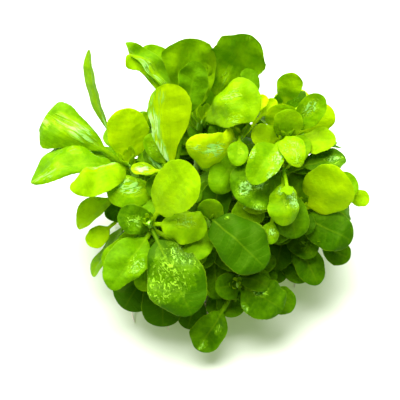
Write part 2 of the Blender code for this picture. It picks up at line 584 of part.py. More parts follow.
def tube_mesh(name, points, radii, sides):
    """A bevelled curve with filled caps, as a closed mesh."""
    data = bpy.data.curves.new(name, "CURVE")
    data.dimensions = "3D"
    data.bevel_depth = MM
    data.bevel_resolution = sides // 2 - 2
    data.use_fill_caps = True
    line = data.splines.new("POLY")
    line.points.add(len(points) - 1)
    for target, point, radius in zip(line.points, points, radii):
        target.co = (*(Vector(point) * MM), 1)
        target.radius = radius
    guide = bpy.data.objects.new(name, data)
    bpy.context.scene.collection.objects.link(guide)
    bpy.context.view_layer.update()
    mesh = bpy.data.meshes.new_from_object(guide.evaluated_get(bpy.context.evaluated_depsgraph_get()))
    bpy.data.objects.remove(guide)
    made = bmesh.new()
    made.from_mesh(mesh)
    bmesh.ops.remove_doubles(made, verts=made.verts[:], dist=0.00001)
    bmesh.ops.recalc_face_normals(made, faces=made.faces[:])
    made.to_mesh(mesh)
    made.free()
    mesh.materials.clear()
    mesh.name = name
    return mesh


def add_union(body, parts):
    joined = body.modifiers.new("grown together", "BOOLEAN")
    joined.operation = "UNION"
    joined.operand_type = "COLLECTION"
    joined.collection = parts


def bud_mesh(name, room=0.0):
    """The young leaves that stand folded together at the tip of a shoot, as one closed bud."""
    made = bmesh.new()
    bmesh.ops.create_uvsphere(made, u_segments=STEM_SIDES, v_segments=BUD_RINGS, radius=1)
    turn = stem_run(name, 1.0).to_track_quat("Z", "Y").to_matrix()
    for vertex in made.verts:
        out = vertex.co.xy * (BUD_RADIUS + room)
        rise = (vertex.co.z + BUD_OUT) * BUD_LENGTH / 2
        vertex.co = (SHOOTS[name].crown + turn @ out.to_3d() + turn.col[2] * rise) * MM
    mesh = bpy.data.meshes.new(f"bud of {name}")
    made.to_mesh(mesh)
    made.free()
    return mesh


def add_shoot(name, small, collection):
    """The stem, with its small leaves and its bud grown into it."""
    shares = np.linspace(0, 1, STEM_POINTS)
    points = [stem_axis(name, share) for share in shares]
    mesh = tube_mesh(f"shoot_{name}", points, [stem_radius(share) for share in shares], STEM_SIDES)
    body = add_object(f"shoot_{name}", mesh, collection, "stem")
    parts = new_collection(f"grown into {name}", hidden=True)
    add_helper(f"bud_{name}", bud_mesh(name), parts, "young")
    for number, leaf in enumerate(small):
        title = f"small_{name}_{number}"
        add_helper(title, leaf_mesh(title, leaf, SMALL, inside=True), parts, leaf.colour)
    add_union(body, parts)


def tube_piece(owner, points, radii):
    """A tube's shell for the test of room."""
    turns = np.linspace(0, 2 * pi, SHELL_SIDES, endpoint=False)
    rings = []
    for number, (point, radius) in enumerate(zip(points, radii)):
        run = (points[min(number + 1, len(points) - 1)] - points[max(number - 1, 0)]).normalized()
        out = run.orthogonal().normalized() * (radius + ROOM)
        rings.append([point + Matrix.Rotation(turn, 3, run) @ out for turn in turns])
    shell = np.array(rings).reshape(-1, 3)
    index = np.arange(len(shell)).reshape(len(points), SHELL_SIDES)
    beside = np.roll(index, -1, axis=1)
    faces = np.stack([index[:-1], beside[:-1], beside[1:], index[1:]], axis=-1).reshape(-1, 4).tolist()
    return Piece(owner, shell, faces + [index[0].tolist(), index[-1].tolist()])


def mesh_piece(owner, mesh, grow):
    """A mesh's shell for the test of room, grown about the middle of the floor by these shares."""
    points = np.array([vertex.co for vertex in mesh.vertices]) / MM * grow
    piece = Piece(owner, points, [list(face.vertices) for face in mesh.polygons])
    bpy.data.meshes.remove(mesh)
    return piece


def shoot_pieces(name):
    shares = np.linspace(0, 1, STEM_POINTS)
    points = [stem_axis(name, share) for share in shares]
    yield tube_piece(name, points, [stem_radius(share) for share in shares])
    yield mesh_piece(name, bud_mesh(name, GAP), (1, 1, 1))


def mat_mesh():
    """A low dome with a wavy edge, flat underneath."""
    made = bmesh.new()
    bmesh.ops.create_uvsphere(made, u_segments=MAT_SIDES, v_segments=MAT_RINGS, radius=1)
    for vertex in made.verts:
        turn = np.arctan2(vertex.co.y, vertex.co.x)
        edge = 1 + sum(height * sin(count * turn + start) for count, height, start in MAT_WAVES)
        vertex.co.x *= MAT_RADIUS * MM * edge
        vertex.co.y *= MAT_RADIUS * MM * edge
        vertex.co.z = max(0.0, vertex.co.z) * MAT_HEIGHT * MM
    mesh = bpy.data.meshes.new("root_mat")
    made.to_mesh(mesh)
    made.free()
    return mesh


def root_line(turn, reach, heading):
    """A loose root: out of the mat, then down to where its end lies on the floor."""
    end = around(turn, reach, ROOT_END_HEIGHT)
    knee = end - around(heading, ROOT_LYING, -ROOT_KNEE_RISE)
    start = Vector((knee.x, knee.y, 0)).normalized() * ROOT_START + Vector((0, 0, ROOT_START_HEIGHT))
    return [start, knee, end]


def add_root_mat(collection):
    """The mat of roots, with the loose root ends grown out of it."""
    body = add_object("root_mat", mat_mesh(), collection, "root")
    parts = new_collection("grown into the mat", hidden=True)
    for number, place in enumerate(ROOT_ENDS):
        title = f"root_{number}"
        mesh = tube_mesh(title, root_line(*place), [ROOT_RADIUS, ROOT_RADIUS, ROOT_END_RADIUS], ROOT_SIDES)
        add_helper(title, mesh, parts, "root")
    add_union(body, parts)


def mat_pieces():
    yield mesh_piece("root_mat", mat_mesh(), MAT_ROOM)
    for place in ROOT_ENDS:
        yield tube_piece("root_mat", root_line(*place), [ROOT_RADIUS] * 3)


def main():
    for old in list(bpy.data.objects):
        bpy.data.objects.remove(old)
    tuft = new_collection("cardinal flower tuft")
    add_root_mat(tuft)
    placed = [piece for name in SHOOTS for piece in shoot_pieces(name)] + list(mat_pieces())
    for leaf in LARGE_LEAVES:
        moved, shell = settled(leaf, LARGE, placed, leaf.name, TRIALS)
        placed.append(shell)
        add_object(leaf.name, leaf_mesh(leaf.name, moved, LARGE), tuft, leaf.colour)
    small = {name: [] for name in SHOOTS}
    filling = [leaf for name in SHOOTS for leaf in fill_leaves(name)]
    for leaf in SMALL_LEAVES + filling:
        found = settled(leaf, SMALL, placed, leaf.shoot, TRIALS[:FILL_TRIALS])
        if found:
            small[leaf.shoot].append(found[0])
            placed.append(found[1])
    for name in SHOOTS:
        add_shoot(name, small[name], tuft)


if __name__ == "__main__":
    main()
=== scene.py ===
"""The looks of a tuft of young cardinal flower plants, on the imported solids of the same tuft.

Every leaf is a thin closed blade with its stalk, worked out as a section carried along its midrib.
Each large leaf stands for its own solid, each shoot stands for the solid of that shoot, with its
small leaves and the young leaves of its tip, and matted root threads stand for the root mat.

The plan of the tuft is the one that the solids were built by, in millimetres. Most places are given
as seen by someone who looks down at the tuft at a slope of VIEW_SLOPE degrees: across to the right,
up the view, and towards the viewer. Those of the far side are right, back and up from the middle of
the root mat. Leaves are settled in the same order and by the same small changes as the solids were,
so that each fine leaf lies in its solid.
"""

import logging
from dataclasses import dataclass, field, replace
from enum import Enum
from itertools import product
from math import cos, pi, radians, sin
from typing import Iterator, Optional, Sequence

import bmesh
import bpy
import numpy as np
from mathutils import Matrix, Vector
from mathutils.bvhtree import BVHTree


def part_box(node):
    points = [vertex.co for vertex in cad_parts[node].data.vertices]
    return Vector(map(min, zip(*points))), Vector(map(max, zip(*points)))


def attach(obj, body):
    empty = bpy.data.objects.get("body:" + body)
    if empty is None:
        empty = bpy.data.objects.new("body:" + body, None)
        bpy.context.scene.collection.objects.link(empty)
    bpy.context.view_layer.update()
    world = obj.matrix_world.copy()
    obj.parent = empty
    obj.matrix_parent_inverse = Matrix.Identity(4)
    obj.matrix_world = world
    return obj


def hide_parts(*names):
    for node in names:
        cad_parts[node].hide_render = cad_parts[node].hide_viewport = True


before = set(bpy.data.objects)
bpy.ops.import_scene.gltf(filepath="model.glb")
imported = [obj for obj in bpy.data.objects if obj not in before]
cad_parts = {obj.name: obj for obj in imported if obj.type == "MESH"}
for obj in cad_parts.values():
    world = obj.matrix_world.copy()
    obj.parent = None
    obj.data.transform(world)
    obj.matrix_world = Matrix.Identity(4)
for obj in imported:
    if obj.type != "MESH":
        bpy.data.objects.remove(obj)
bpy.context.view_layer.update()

log = logging.getLogger("tuft")
Array = np.ndarray
Luck = np.random.Generator
Socket = bpy.types.NodeSocket

MM = 0.001
VIEW_SLOPE = 50.0
GAP = 0.3
ROOM = GAP * 0.6
FILL_TURN = 137.5
FILL_SPREAD = 230.0
FILL_START = 0.3
FILL_RUN = 0.6
FILL_STALK = 0.1
FILL_LENGTH = 0.8
FILL_WIDTH = 0.62
FILL_BOW = 2.0
FILL_FOLD = -0.25
FILL_LEAN = 0.5
WET_CORE = 1.6


class Tone(Enum):
    """How far a leaf's green goes from deep to lime, from 0 to 1 and on to the yellow of young leaves."""

    DEEP = 0.12
    GREEN = 0.45
    LIME = 0.82
    YOUNG = 1.0


class Finish(Enum):
    """The finishes of the tuft's pieces, each by its name."""

    LIME_LEAF = "leaf_lime"
    GREEN_LEAF = "leaf_green"
    DEEP_LEAF = "leaf_deep"
    SHOOT = "shoot"
    ROOTS = "roots"


def seen(across: float, rise: float, toward: float) -> Vector:
    """A place or direction in right, back and up, from the way the viewer sees it.

    Args:
        across: millimetres to the viewer's right of the middle of the root mat.
        rise: millimetres up the view.
        toward: millimetres towards the viewer.

    Returns:
        The same place in the tuft's own frame, the view turned by its slope.
    """
    slope = radians(VIEW_SLOPE)
    back = rise * sin(slope) - toward * cos(slope)
    up = rise * cos(slope) + toward * sin(slope)
    return Vector((across, back, up))


def around(turn: float, reach: float, up: float) -> Vector:
    """A place by its turn in degrees from the right by way of the back, its reach and its height."""
    return Vector((reach * cos(radians(turn)), reach * sin(radians(turn)), up))


@dataclass(frozen=True)
class Shoot:
    """One plant of the tuft: where its stem starts on the mat, its tip, and how far it bows out.

    So many more leaves fill it, with their tips at this reach out of its stem.
    """

    foot: tuple[float, float]
    crown: Vector
    filling: int
    reach: float
    lean: float = 2.0


@dataclass(frozen=True)
class Leaf:
    """One leaf: the shoot and the share along it that it grows from, its tip, sizes and pose."""

    name: str
    shoot: str
    along: float
    tip: Vector
    length: float
    width: float
    facing: Vector
    bow: float = 2.0
    fold: float = 0.25
    taper: float = 0.6
    tone: Tone = Tone.GREEN
    slide: float = 0.0


SHOOTS: dict[str, Shoot] = {
    "front_left": Shoot((-9, -8), seen(-18.5, 9.5, 33), 3, 13),
    "left": Shoot((-12, 2), seen(-24, 26, 26), 4, 14),
    "crest": Shoot((-4, -1), seen(-12.5, 24, 31), 2, 12),
    "top": Shoot((3, 3), seen(7, 35, 31), 1, 12),
    "top_back": Shoot((-5, 8), seen(-4, 38, 23), 3, 13),
    "right_top": Shoot((10, 5), seen(19.5, 34, 29), 4, 15),
    "middle": Shoot((7, -3), seen(19, 25, 32), 2, 13),
    "right": Shoot((14, -4), seen(24, 14, 28), 5, 15),
    "front": Shoot((0, -9), seen(-2, 11, 34), 4, 13),
    "front_low": Shoot((6, -14), seen(6, -8, 29), 3, 13),
    "back_left": Shoot((-9, 12), Vector((-19, 22, 31)), 5, 16),
    "back_right": Shoot((9, 12), Vector((18, 23, 32)), 5, 16),
    "back": Shoot((0, 15), Vector((0, 30, 27)), 5, 16),
}

# Where loose root ends lie on the floor: the turn round the mat, the reach, and which way they point
ROOT_ENDS: list[tuple[float, float, float]] = [
    (228, 34, 270),
    (245, 31, 270),
    (331, 26, 270),
    (200, 27, 200),
    (15, 30, 20),
    (62, 29, 50),
    (115, 30, 120),
    (160, 31, 170),
]

# Large leaves, the most open ones first, because a later leaf makes way for an earlier one
LARGE_LEAVES: list[Leaf] = [
    Leaf("leaf_front_1", "front_left", 0.92, seen(-6.5, -17, 40), 23, 17.5, seen(0, 0, 1), 2.5, -0.3),
    Leaf("leaf_front_2", "front_left", 1.0, seen(-6, 24.9, 45), 18, 16, seen(-0.1, 0.3, 1), 2.0, 0.2,
         taper=0.5, tone=Tone.LIME),
    Leaf("leaf_front_3", "front_left", 0.85, seen(-29, -9.2, 37), 18, 12.5, seen(-0.1, 0, 1), 2.0, -0.2,
         tone=Tone.LIME),
    Leaf("leaf_front_4", "front", 0.95, seen(13.8, -2.5, 41), 21, 16, seen(0.1, 0.1, 1), 2.5, -0.35,
         taper=0.5, tone=Tone.DEEP),
    Leaf("leaf_left_1", "left", 0.97, seen(-40.3, 18.5, 36), 23, 12, seen(0, 0.5, 0.85), 3.0, -0.4,
         tone=Tone.LIME),
    Leaf("leaf_right_1", "right", 0.97, seen(37.8, 22.4, 37), 16, 14.5, seen(0.15, 0.1, 1), 1.5, -0.2,
         taper=0.5, tone=Tone.LIME),
    Leaf("leaf_top_1", "top_back", 0.97, seen(13.6, 44, 39), 20, 15, seen(-0.05, 0.3, 1), 4.5, -0.3,
         tone=Tone.LIME),
    Leaf("leaf_crest_1", "crest", 1.0, seen(-13.4, 48, 38), 25, 14.5, seen(0.15, 0, 1), 2.0, 0.7,
         tone=Tone.LIME),
    Leaf("leaf_left_2", "left", 1.0, seen(-25.5, 41.2, 33), 16, 12, seen(0.1, 0, 1), 1.5, -0.3,
         taper=0.5, tone=Tone.LIME),
    Leaf("leaf_left_3", "left", 0.86, seen(-51.8, 20.2, 25), 23, 12.5, seen(0, 0.6, 0.8), 8.5, -0.4,
         tone=Tone.LIME),
    Leaf("leaf_left_4", "left", 0.92, seen(-49, 40.7, 24), 20, 14, seen(0, 0.25, 1), 3.0, -0.4),
    Leaf("leaf_top_2", "top", 0.97, seen(-7.8, 30.5, 38), 16, 12.5, seen(-0.1, 0, 1), 4.5, -0.6,
         tone=Tone.LIME),
    Leaf("leaf_middle_1", "right_top", 0.95, seen(10.9, 21.3, 41), 13.5, 10.5, seen(-0.1, 0.1, 1), 1.5, 0.3,
         taper=0.5),
    Leaf("leaf_middle_2", "middle", 0.96, seen(4, 16.5, 38), 18, 15.5, seen(-0.1, 0.2, 1), 2.0, -0.3),
    Leaf("leaf_middle_3", "middle", 1.0, seen(18.8, 8.5, 40), 11.5, 9, seen(0.1, 0.2, 1), 2.0, -0.3),
    Leaf("leaf_middle_4", "middle", 0.85, seen(22.5, 5, 35), 13, 11.5, seen(0.1, 0, 1), 1.5, -0.2,
         tone=Tone.DEEP),
    Leaf("leaf_middle_5", "right_top", 1.0, seen(23.5, 25.2, 40), 11, 8, seen(0, 0.2, 1), 2.0, 0.3,
         tone=Tone.LIME),
    Leaf("leaf_top_3", "top", 0.85, seen(0, 18.5, 36), 13.5, 9.5, seen(0.1, 0.1, 1), 2.0, -0.3),
    Leaf("leaf_front_5", "front_left", 0.97, seen(-2.2, 7.5, 38), 13, 10, seen(0, 0.15, 1), 2.0, -0.4),
    Leaf("leaf_left_5", "left", 1.0, seen(-34.7, 58, 28), 25, 8.5, seen(-0.9, 0, 0.45), 1.5, 0.4),
    Leaf("leaf_back_1", "top_back", 1.0, seen(-8.1, 61, 28), 20, 14, seen(0, 0, 1), -2.0, 0.3),
    Leaf("leaf_back_2", "top_back", 0.92, seen(9.5, 62, 28), 21, 15, seen(0.2, -0.1, 1), -3.5, 0.6,
         tone=Tone.DEEP),
    Leaf("leaf_back_3", "crest", 0.92, seen(-6, 54.4, 33), 15, 10.5, seen(0.1, -0.1, 1), 1.0, 0.4,
         tone=Tone.DEEP),
    Leaf("leaf_back_4", "top_back", 0.9, seen(-25.2, 60, 25), 19, 8.5, seen(0.2, 0.7, 0.6), 2.0, 0.4),
    Leaf("leaf_back_5", "top_back", 0.8, seen(-25.2, 55, 29), 16, 7.5, seen(0, 0.5, 0.85), 2.0, -0.3,
         tone=Tone.LIME),
    Leaf("leaf_right_2", "right_top", 0.97, seen(30, 44.2, 33), 12, 9.5, seen(0, 0.1, 1), 1.5, 0.4),
    Leaf("leaf_right_3", "right_top", 0.85, seen(33.9, 32.5, 30), 11, 8, seen(0, 0.5, 0.85), 1.5, 0.2,
         tone=Tone.LIME),
    Leaf("leaf_right_4", "right", 0.85, seen(37.5, 3.5, 31), 15, 13, seen(0.2, 0, 1), 2.0, -0.3,
         tone=Tone.DEEP),
    Leaf("leaf_right_5", "right", 0.6, seen(28.3, -8.7, 25), 13.5, 10, seen(0.1, -0.1, 1), 1.5, 0.2,
         tone=Tone.DEEP),
    Leaf("leaf_top_4", "right_top", 0.9, seen(19, 42.6, 31), 10, 9.5, seen(-0.1, 0, 1), 1.0, 0.2,
         tone=Tone.LIME),
    Leaf("leaf_top_5", "back_right", 1.0, seen(21.3, 51.2, 24), 10, 8.5, seen(0.1, 0, 1), 1.0, 0.3),
    Leaf("leaf_low_1", "front_low", 0.8, seen(-3, -26.9, 31), 12.5, 10.8, seen(0, -0.2, 1), 1.5, 0.4),
    Leaf("leaf_low_2", "front_low", 1.0, seen(19.5, -14.5, 32), 15.5, 13, seen(0, 0.2, 1), 3.0, -0.4),
    Leaf("leaf_low_3", "front_left", 0.45, seen(-25, -15, 25), 17, 14, seen(-0.2, -0.1, 1), 2.0, -0.2,
         tone=Tone.DEEP),
    Leaf("leaf_left_6", "left", 0.6, seen(-38.6, 7.6, 22), 12, 7.5, seen(-0.5, 0.4, 0.75), 4.0, 0.3,
         tone=Tone.LIME),
    Leaf("leaf_left_7", "left", 0.45, seen(-32, -6.5, 19), 16, 8.5, seen(-0.85, 0, 0.5), 2.0, 0.2),
    Leaf("leaf_far_1", "back_left", 0.97, around(140, 38, 30), 18, 13, Vector((-0.5, 0.4, 1)), 2.5, -0.3),
    Leaf("leaf_far_2", "back_left", 0.8, around(128, 42, 22), 18, 13, Vector((-0.6, 0.7, 0.6)), 2.5, -0.3,
         tone=Tone.DEEP),
    Leaf("leaf_far_3", "back", 1.0, around(100, 42, 32), 18, 13, Vector((-0.1, 0.8, 0.8)), 2.5, -0.3),
    Leaf("leaf_far_4", "back", 0.75, around(112, 41, 12), 17, 12, Vector((-0.2, 1, 0.4)), 2.5, -0.3,
         tone=Tone.DEEP),
    Leaf("leaf_far_5", "back", 0.85, around(72, 42, 19), 18, 13, Vector((0.3, 1, 0.5)), 2.5, -0.3),
    Leaf("leaf_far_6", "back_right", 0.97, around(52, 42, 34), 17, 12.5, Vector((0.5, 0.6, 0.9)), 2.5,
         -0.3, tone=Tone.LIME),
    Leaf("leaf_far_7", "back_right", 0.8, around(33, 42, 23), 18, 13, Vector((0.8, 0.5, 0.6)), 2.5, -0.3),
    Leaf("leaf_far_8", "right", 0.7, around(8, 38.5, 17), 16, 12, Vector((0.9, 0.2, 0.6)), 2.5, -0.3,
         tone=Tone.DEEP),
    Leaf("leaf_far_9", "back_left", 0.6, around(165, 41, 18), 16, 12, Vector((-1, 0.2, 0.6)), 2.5, -0.3),
    Leaf("leaf_far_10", "back_left", 1.0, around(118, 34, 46), 15, 11, Vector((-0.3, 0.5, 1)), 2.0, 0.3,
         tone=Tone.LIME),
]

# Small leaves, which are one solid with the stem that they grow from
SMALL_LEAVES: list[Leaf] = [
    Leaf("1", "crest", 0.8, seen(-30.2, 17.5, 33), 14, 10, seen(0, 0.3, 0.95), 1.5, -0.2),
    Leaf("2", "middle", 0.9, seen(7.8, 13.2, 35.5), 14, 12, seen(-0.1, 0.2, 1), 2.0, -0.3, tone=Tone.LIME),
    Leaf("3", "right_top", 0.95, seen(21, 41, 34.5), 9, 8.5, seen(0.1, -0.1, 1), 1.0, 0.2),
    Leaf("4", "middle", 0.93, seen(36.7, 27.4, 28), 12, 8, seen(0, 0.6, 0.8), 1.5, 0.3, tone=Tone.DEEP),
    Leaf("5", "right_top", 0.9, seen(33, 41.4, 27), 10.5, 8.5, seen(0.1, 0.2, 1), 1.5, -0.3,
         tone=Tone.YOUNG),
    Leaf("6", "front_left", 0.5, seen(-14.6, -19.9, 27), 14, 12.5, seen(0, -0.3, 1), 1.5, tone=Tone.DEEP),
    Leaf("7", "front", 0.4, seen(-7.8, -20.7, 23), 10, 8, seen(0, -0.3, 1), 1.0, tone=Tone.DEEP),
    Leaf("8", "front", 0.7, seen(0, 16, 38), 10, 8.5, seen(0, -0.1, 1), 1.0, -0.2),
    Leaf("9", "front_left", 0.85, seen(-2.5, -1, 35), 12, 9, seen(0.1, 0.1, 1), 1.5),
    Leaf("10", "top", 0.95, seen(6, 27.5, 38), 7.5, 6, seen(0, 0.1, 1), 0.8),
    Leaf("11", "middle", 1.0, seen(20.2, 17, 43), 4, 3.8, seen(0, 0.5, 0.8), 0.5, 0.6, tone=Tone.YOUNG),
    Leaf("12", "middle", 0.9, seen(6.2, 8.5, 34), 10.5, 9, seen(0, 0.1, 1), 1.0),
    Leaf("13", "middle", 0.95, seen(14.6, 3.4, 38), 6.5, 5.3, seen(0, 0.1, 1), 0.8, -0.3, tone=Tone.DEEP),
    Leaf("14", "right", 0.9, seen(39.8, 21.3, 29), 10, 8.5, seen(0.2, 0.3, 0.9), 1.0),
    Leaf("15", "right", 0.93, seen(43.4, 16.5, 27), 5.5, 5, seen(0.1, 0.1, 1), 1.0, tone=Tone.LIME),
    Leaf("16", "right", 0.55, seen(38, -1, 24), 8.5, 7.5, seen(0.3, 0, 1), 1.0, tone=Tone.DEEP),
    Leaf("17", "front_low", 0.85, seen(22.6, -14, 27), 10, 8, seen(0.2, 0, 1), 1.0),
    Leaf("18", "top_back", 0.95, seen(-19.6, 59.5, 22), 15, 10, seen(0.2, 0.2, 0.9), 1.5),
    Leaf("19", "top", 1.0, seen(11.8, 53.2, 26), 10, 6.5, seen(0.4, 0, 0.9), 1.0, tone=Tone.LIME),
    Leaf("20", "top", 1.0, seen(14.3, 45, 29), 6, 4, seen(0, 0, 1), 0.5, 0.4, tone=Tone.YOUNG),
    Leaf("21", "top", 0.93, seen(17, 44, 27), 6, 4, seen(0, 0, 1), 0.5, 0.4, tone=Tone.YOUNG),
    Leaf("22", "left", 0.5, seen(-34, 3, 24), 8, 6, seen(-0.3, 0, 1), 1.0, tone=Tone.LIME),
    Leaf("23", "front_left", 0.7, seen(-31, -3, 31), 13, 9, seen(-0.3, 0, 1), 1.5),
    Leaf("24", "front_left", 0.75, seen(-20.2, -9.8, 32), 10, 7, seen(0, 0, 1), 1.0),
    Leaf("25", "front_low", 0.6, seen(3, -17, 28), 11, 9, seen(0, -0.1, 1), 1.0, tone=Tone.DEEP),
    Leaf("26", "front_low", 0.9, seen(0, -9, 33), 10, 8, seen(-0.2, 0, 1), 1.0, tone=Tone.DEEP),
    Leaf("27", "crest", 0.95, seen(-23.5, 24.5, 33), 7, 4, seen(0, 0.3, 1), 0.8, 0.5, tone=Tone.LIME),
    Leaf("28", "crest", 0.9, seen(-19, 31, 28), 10, 7, seen(0.2, 0, 1), 1.0, tone=Tone.DEEP),
    Leaf("29", "crest", 0.85, seen(-4, 15.5, 32), 10, 6, seen(0, 0.1, 1), 1.0, tone=Tone.DEEP),
    Leaf("30", "right", 0.5, seen(17, -4, 24), 11, 8, seen(0, 0, 1), 1.0, tone=Tone.DEEP),
    Leaf("31", "right", 0.95, seen(26, 6, 31), 7, 6, seen(0.1, 0, 1), 1.0, tone=Tone.DEEP),
    Leaf("32", "back_right", 0.9, around(45, 34, 44), 12, 9, Vector((0.4, 0.4, 1)), 1.5),
    Leaf("33", "back_left", 0.9, around(140, 36, 12), 12, 10, Vector((-0.6, 0.6, 0.5)), 1.5),
    Leaf("34", "back", 0.9, around(86, 38, 40), 12, 9, Vector((0, 0.6, 0.8)), 1.5),
    Leaf("35", "back", 0.6, around(90, 36, 10), 12, 9, Vector((0, 1, 0.5)), 1.5, tone=Tone.DEEP),
    Leaf("36", "back_right", 0.6, around(50, 38, 12), 13, 10, Vector((0.6, 0.8, 0.4)), 1.5, tone=Tone.DEEP),
    Leaf("37", "back_right", 0.7, around(20, 38, 32), 13, 10, Vector((0.8, 0.3, 0.7)), 1.5),
    Leaf("38", "back_left", 0.9, around(172, 36, 32), 13, 9, Vector((-0.8, 0, 0.8)), 1.5),
    Leaf("39", "top", 0.9, seen(6, 37.5, 34), 9, 7, seen(0, 0.2, 1), 0.8, -0.2),
    Leaf("40", "right_top", 0.92, seen(10, 34, 35), 9, 7.5, seen(0, 0.1, 1), 0.8, 0.2, tone=Tone.LIME),
    Leaf("41", "front_left", 0.9, seen(-27, 12, 34), 12, 8.5, seen(-0.1, 0.1, 1), 1.0, tone=Tone.DEEP),
    Leaf("42", "crest", 0.75, seen(-20, 19, 29), 11, 8, seen(-0.1, 0.1, 1), 1.0, tone=Tone.DEEP),
    Leaf("43", "crest", 0.97, seen(-18.5, 34, 32), 9, 6, seen(0.2, 0, 1), 0.8),
    Leaf("44", "front", 0.6, seen(1, -12, 29), 12, 9, seen(0, -0.1, 1), 1.0, tone=Tone.DEEP),
    Leaf("45", "front_low", 0.75, seen(14, -7, 31), 11, 9, seen(0.1, 0, 1), 1.0, tone=Tone.DEEP),
    Leaf("46", "right", 0.85, seen(24, 24, 30), 10, 7.5, seen(0, 0.2, 1), 1.0, tone=Tone.DEEP),
    Leaf("47", "top", 0.7, seen(2, 22, 31), 11, 8, seen(0, 0, 1), 1.0, tone=Tone.DEEP),
    Leaf("48", "middle", 0.7, seen(10, 12, 28), 12, 9, seen(0, 0, 1), 1.0, tone=Tone.DEEP),
    Leaf("49", "top_back", 0.85, seen(-6, 32, 30), 10, 7, seen(0, 0, 1), 1.0, tone=Tone.DEEP),
    Leaf("50", "right", 0.4, seen(24, -2, 20), 12, 9, seen(0.1, 0, 1), 1.0, tone=Tone.DEEP),
    Leaf("51", "front_left", 0.6, seen(-28, 2, 28), 12, 9, seen(-0.2, 0, 1), 1.0),
    Leaf("52", "top", 0.5, seen(4, 17, 26), 12, 9, seen(0, 0, 1), 1.0, tone=Tone.DEEP),
    Leaf("53", "front", 0.85, seen(1.5, 21, 30), 12, 9, seen(0, 0, 1), 1.0, tone=Tone.DEEP),
    Leaf("54", "right", 0.6, seen(28, -1, 25), 12, 9, seen(0.1, 0, 1), 1.0, tone=Tone.DEEP),
    Leaf("55", "right", 0.25, seen(17, -8, 20), 12, 9, seen(0, 0, 1), 1.0, tone=Tone.DEEP),
    Leaf("56", "back_left", 0.95, around(112, 26, 44), 14, 10, Vector((-0.2, 0.5, 1)), 1.5),
    Leaf("57", "back", 0.97, Vector((0, 27, 45)), 15, 11, Vector((0, 0.7, 1)), 1.5, tone=Tone.LIME),
    Leaf("58", "back_right", 0.95, around(70, 27, 45), 14, 10, Vector((0.2, 0.5, 1)), 1.5),
    Leaf("59", "back", 0.8, around(78, 37, 31), 13, 10, Vector((0.3, 0.8, 0.8)), 1.5),
    Leaf("60", "back", 0.9, around(106, 34, 36), 13, 10, Vector((-0.3, 0.8, 0.8)), 1.5),
    Leaf("61", "back", 0.97, around(95, 22, 40), 13, 10, Vector((0, 0.2, 1)), 1.5),
    Leaf("62", "middle", 0.97, seen(26, 33, 30), 10, 7, seen(0, 0.2, 1), 1.0),
    Leaf("63", "back_left", 0.97, Vector((-6, 20, 37)), 13, 10, Vector((0.2, 0.3, 1)), 1.5),
    Leaf("64", "back_right", 0.97, Vector((7, 21, 38)), 13, 10, Vector((-0.2, 0.3, 1)), 1.5),
    Leaf("65", "back", 0.8, Vector((0, 14, 30)), 14, 10, Vector((0, 0.1, 1)), 1.5, tone=Tone.DEEP),
]


class Stem:
    """The stem of one shoot: a bowed line from its foot on the root mat to its crown."""

    FOOT_RADIUS = 1.4
    CROWN_RADIUS = 1.0
    FOOT_SINK = 0.5

    def __init__(self, name: str, mat_top: float) -> None:
        """Sets the stem out.

        Args:
            name: the shoot's name in the plan.
            mat_top: the height of the root mat under the stem's foot.
        """
        self.name = name
        self.plan = SHOOTS[name]
        self.foot = Vector((*self.plan.foot, mat_top + GAP + self.FOOT_RADIUS * self.FOOT_SINK))

    def axis(self, share: float) -> Vector:
        """The middle of the stem, a curve of the second degree that bows outwards at first.

        Args:
            share: how far along the stem, 0 at its foot and 1 at its crown.

        Returns:
            The place, in millimetres.
        """
        middle = (self.foot + self.plan.crown) / 2
        outward = Vector((middle.x, middle.y, 0)).normalized() * self.plan.lean
        bend = middle + outward - Vector((0, 0, self.plan.lean))
        return self.foot * (1 - share) ** 2 + bend * 2 * share * (1 - share) + self.plan.crown * share**2

    def run(self, share: float) -> Vector:
        """The direction of the stem at this share of it."""
        return (self.axis(share + 0.01) - self.axis(share - 0.01)).normalized()

    def radius(self, share: float) -> float:
        """The stem's radius, which falls evenly from foot to crown."""
        return self.FOOT_RADIUS + (self.CROWN_RADIUS - self.FOOT_RADIUS) * share


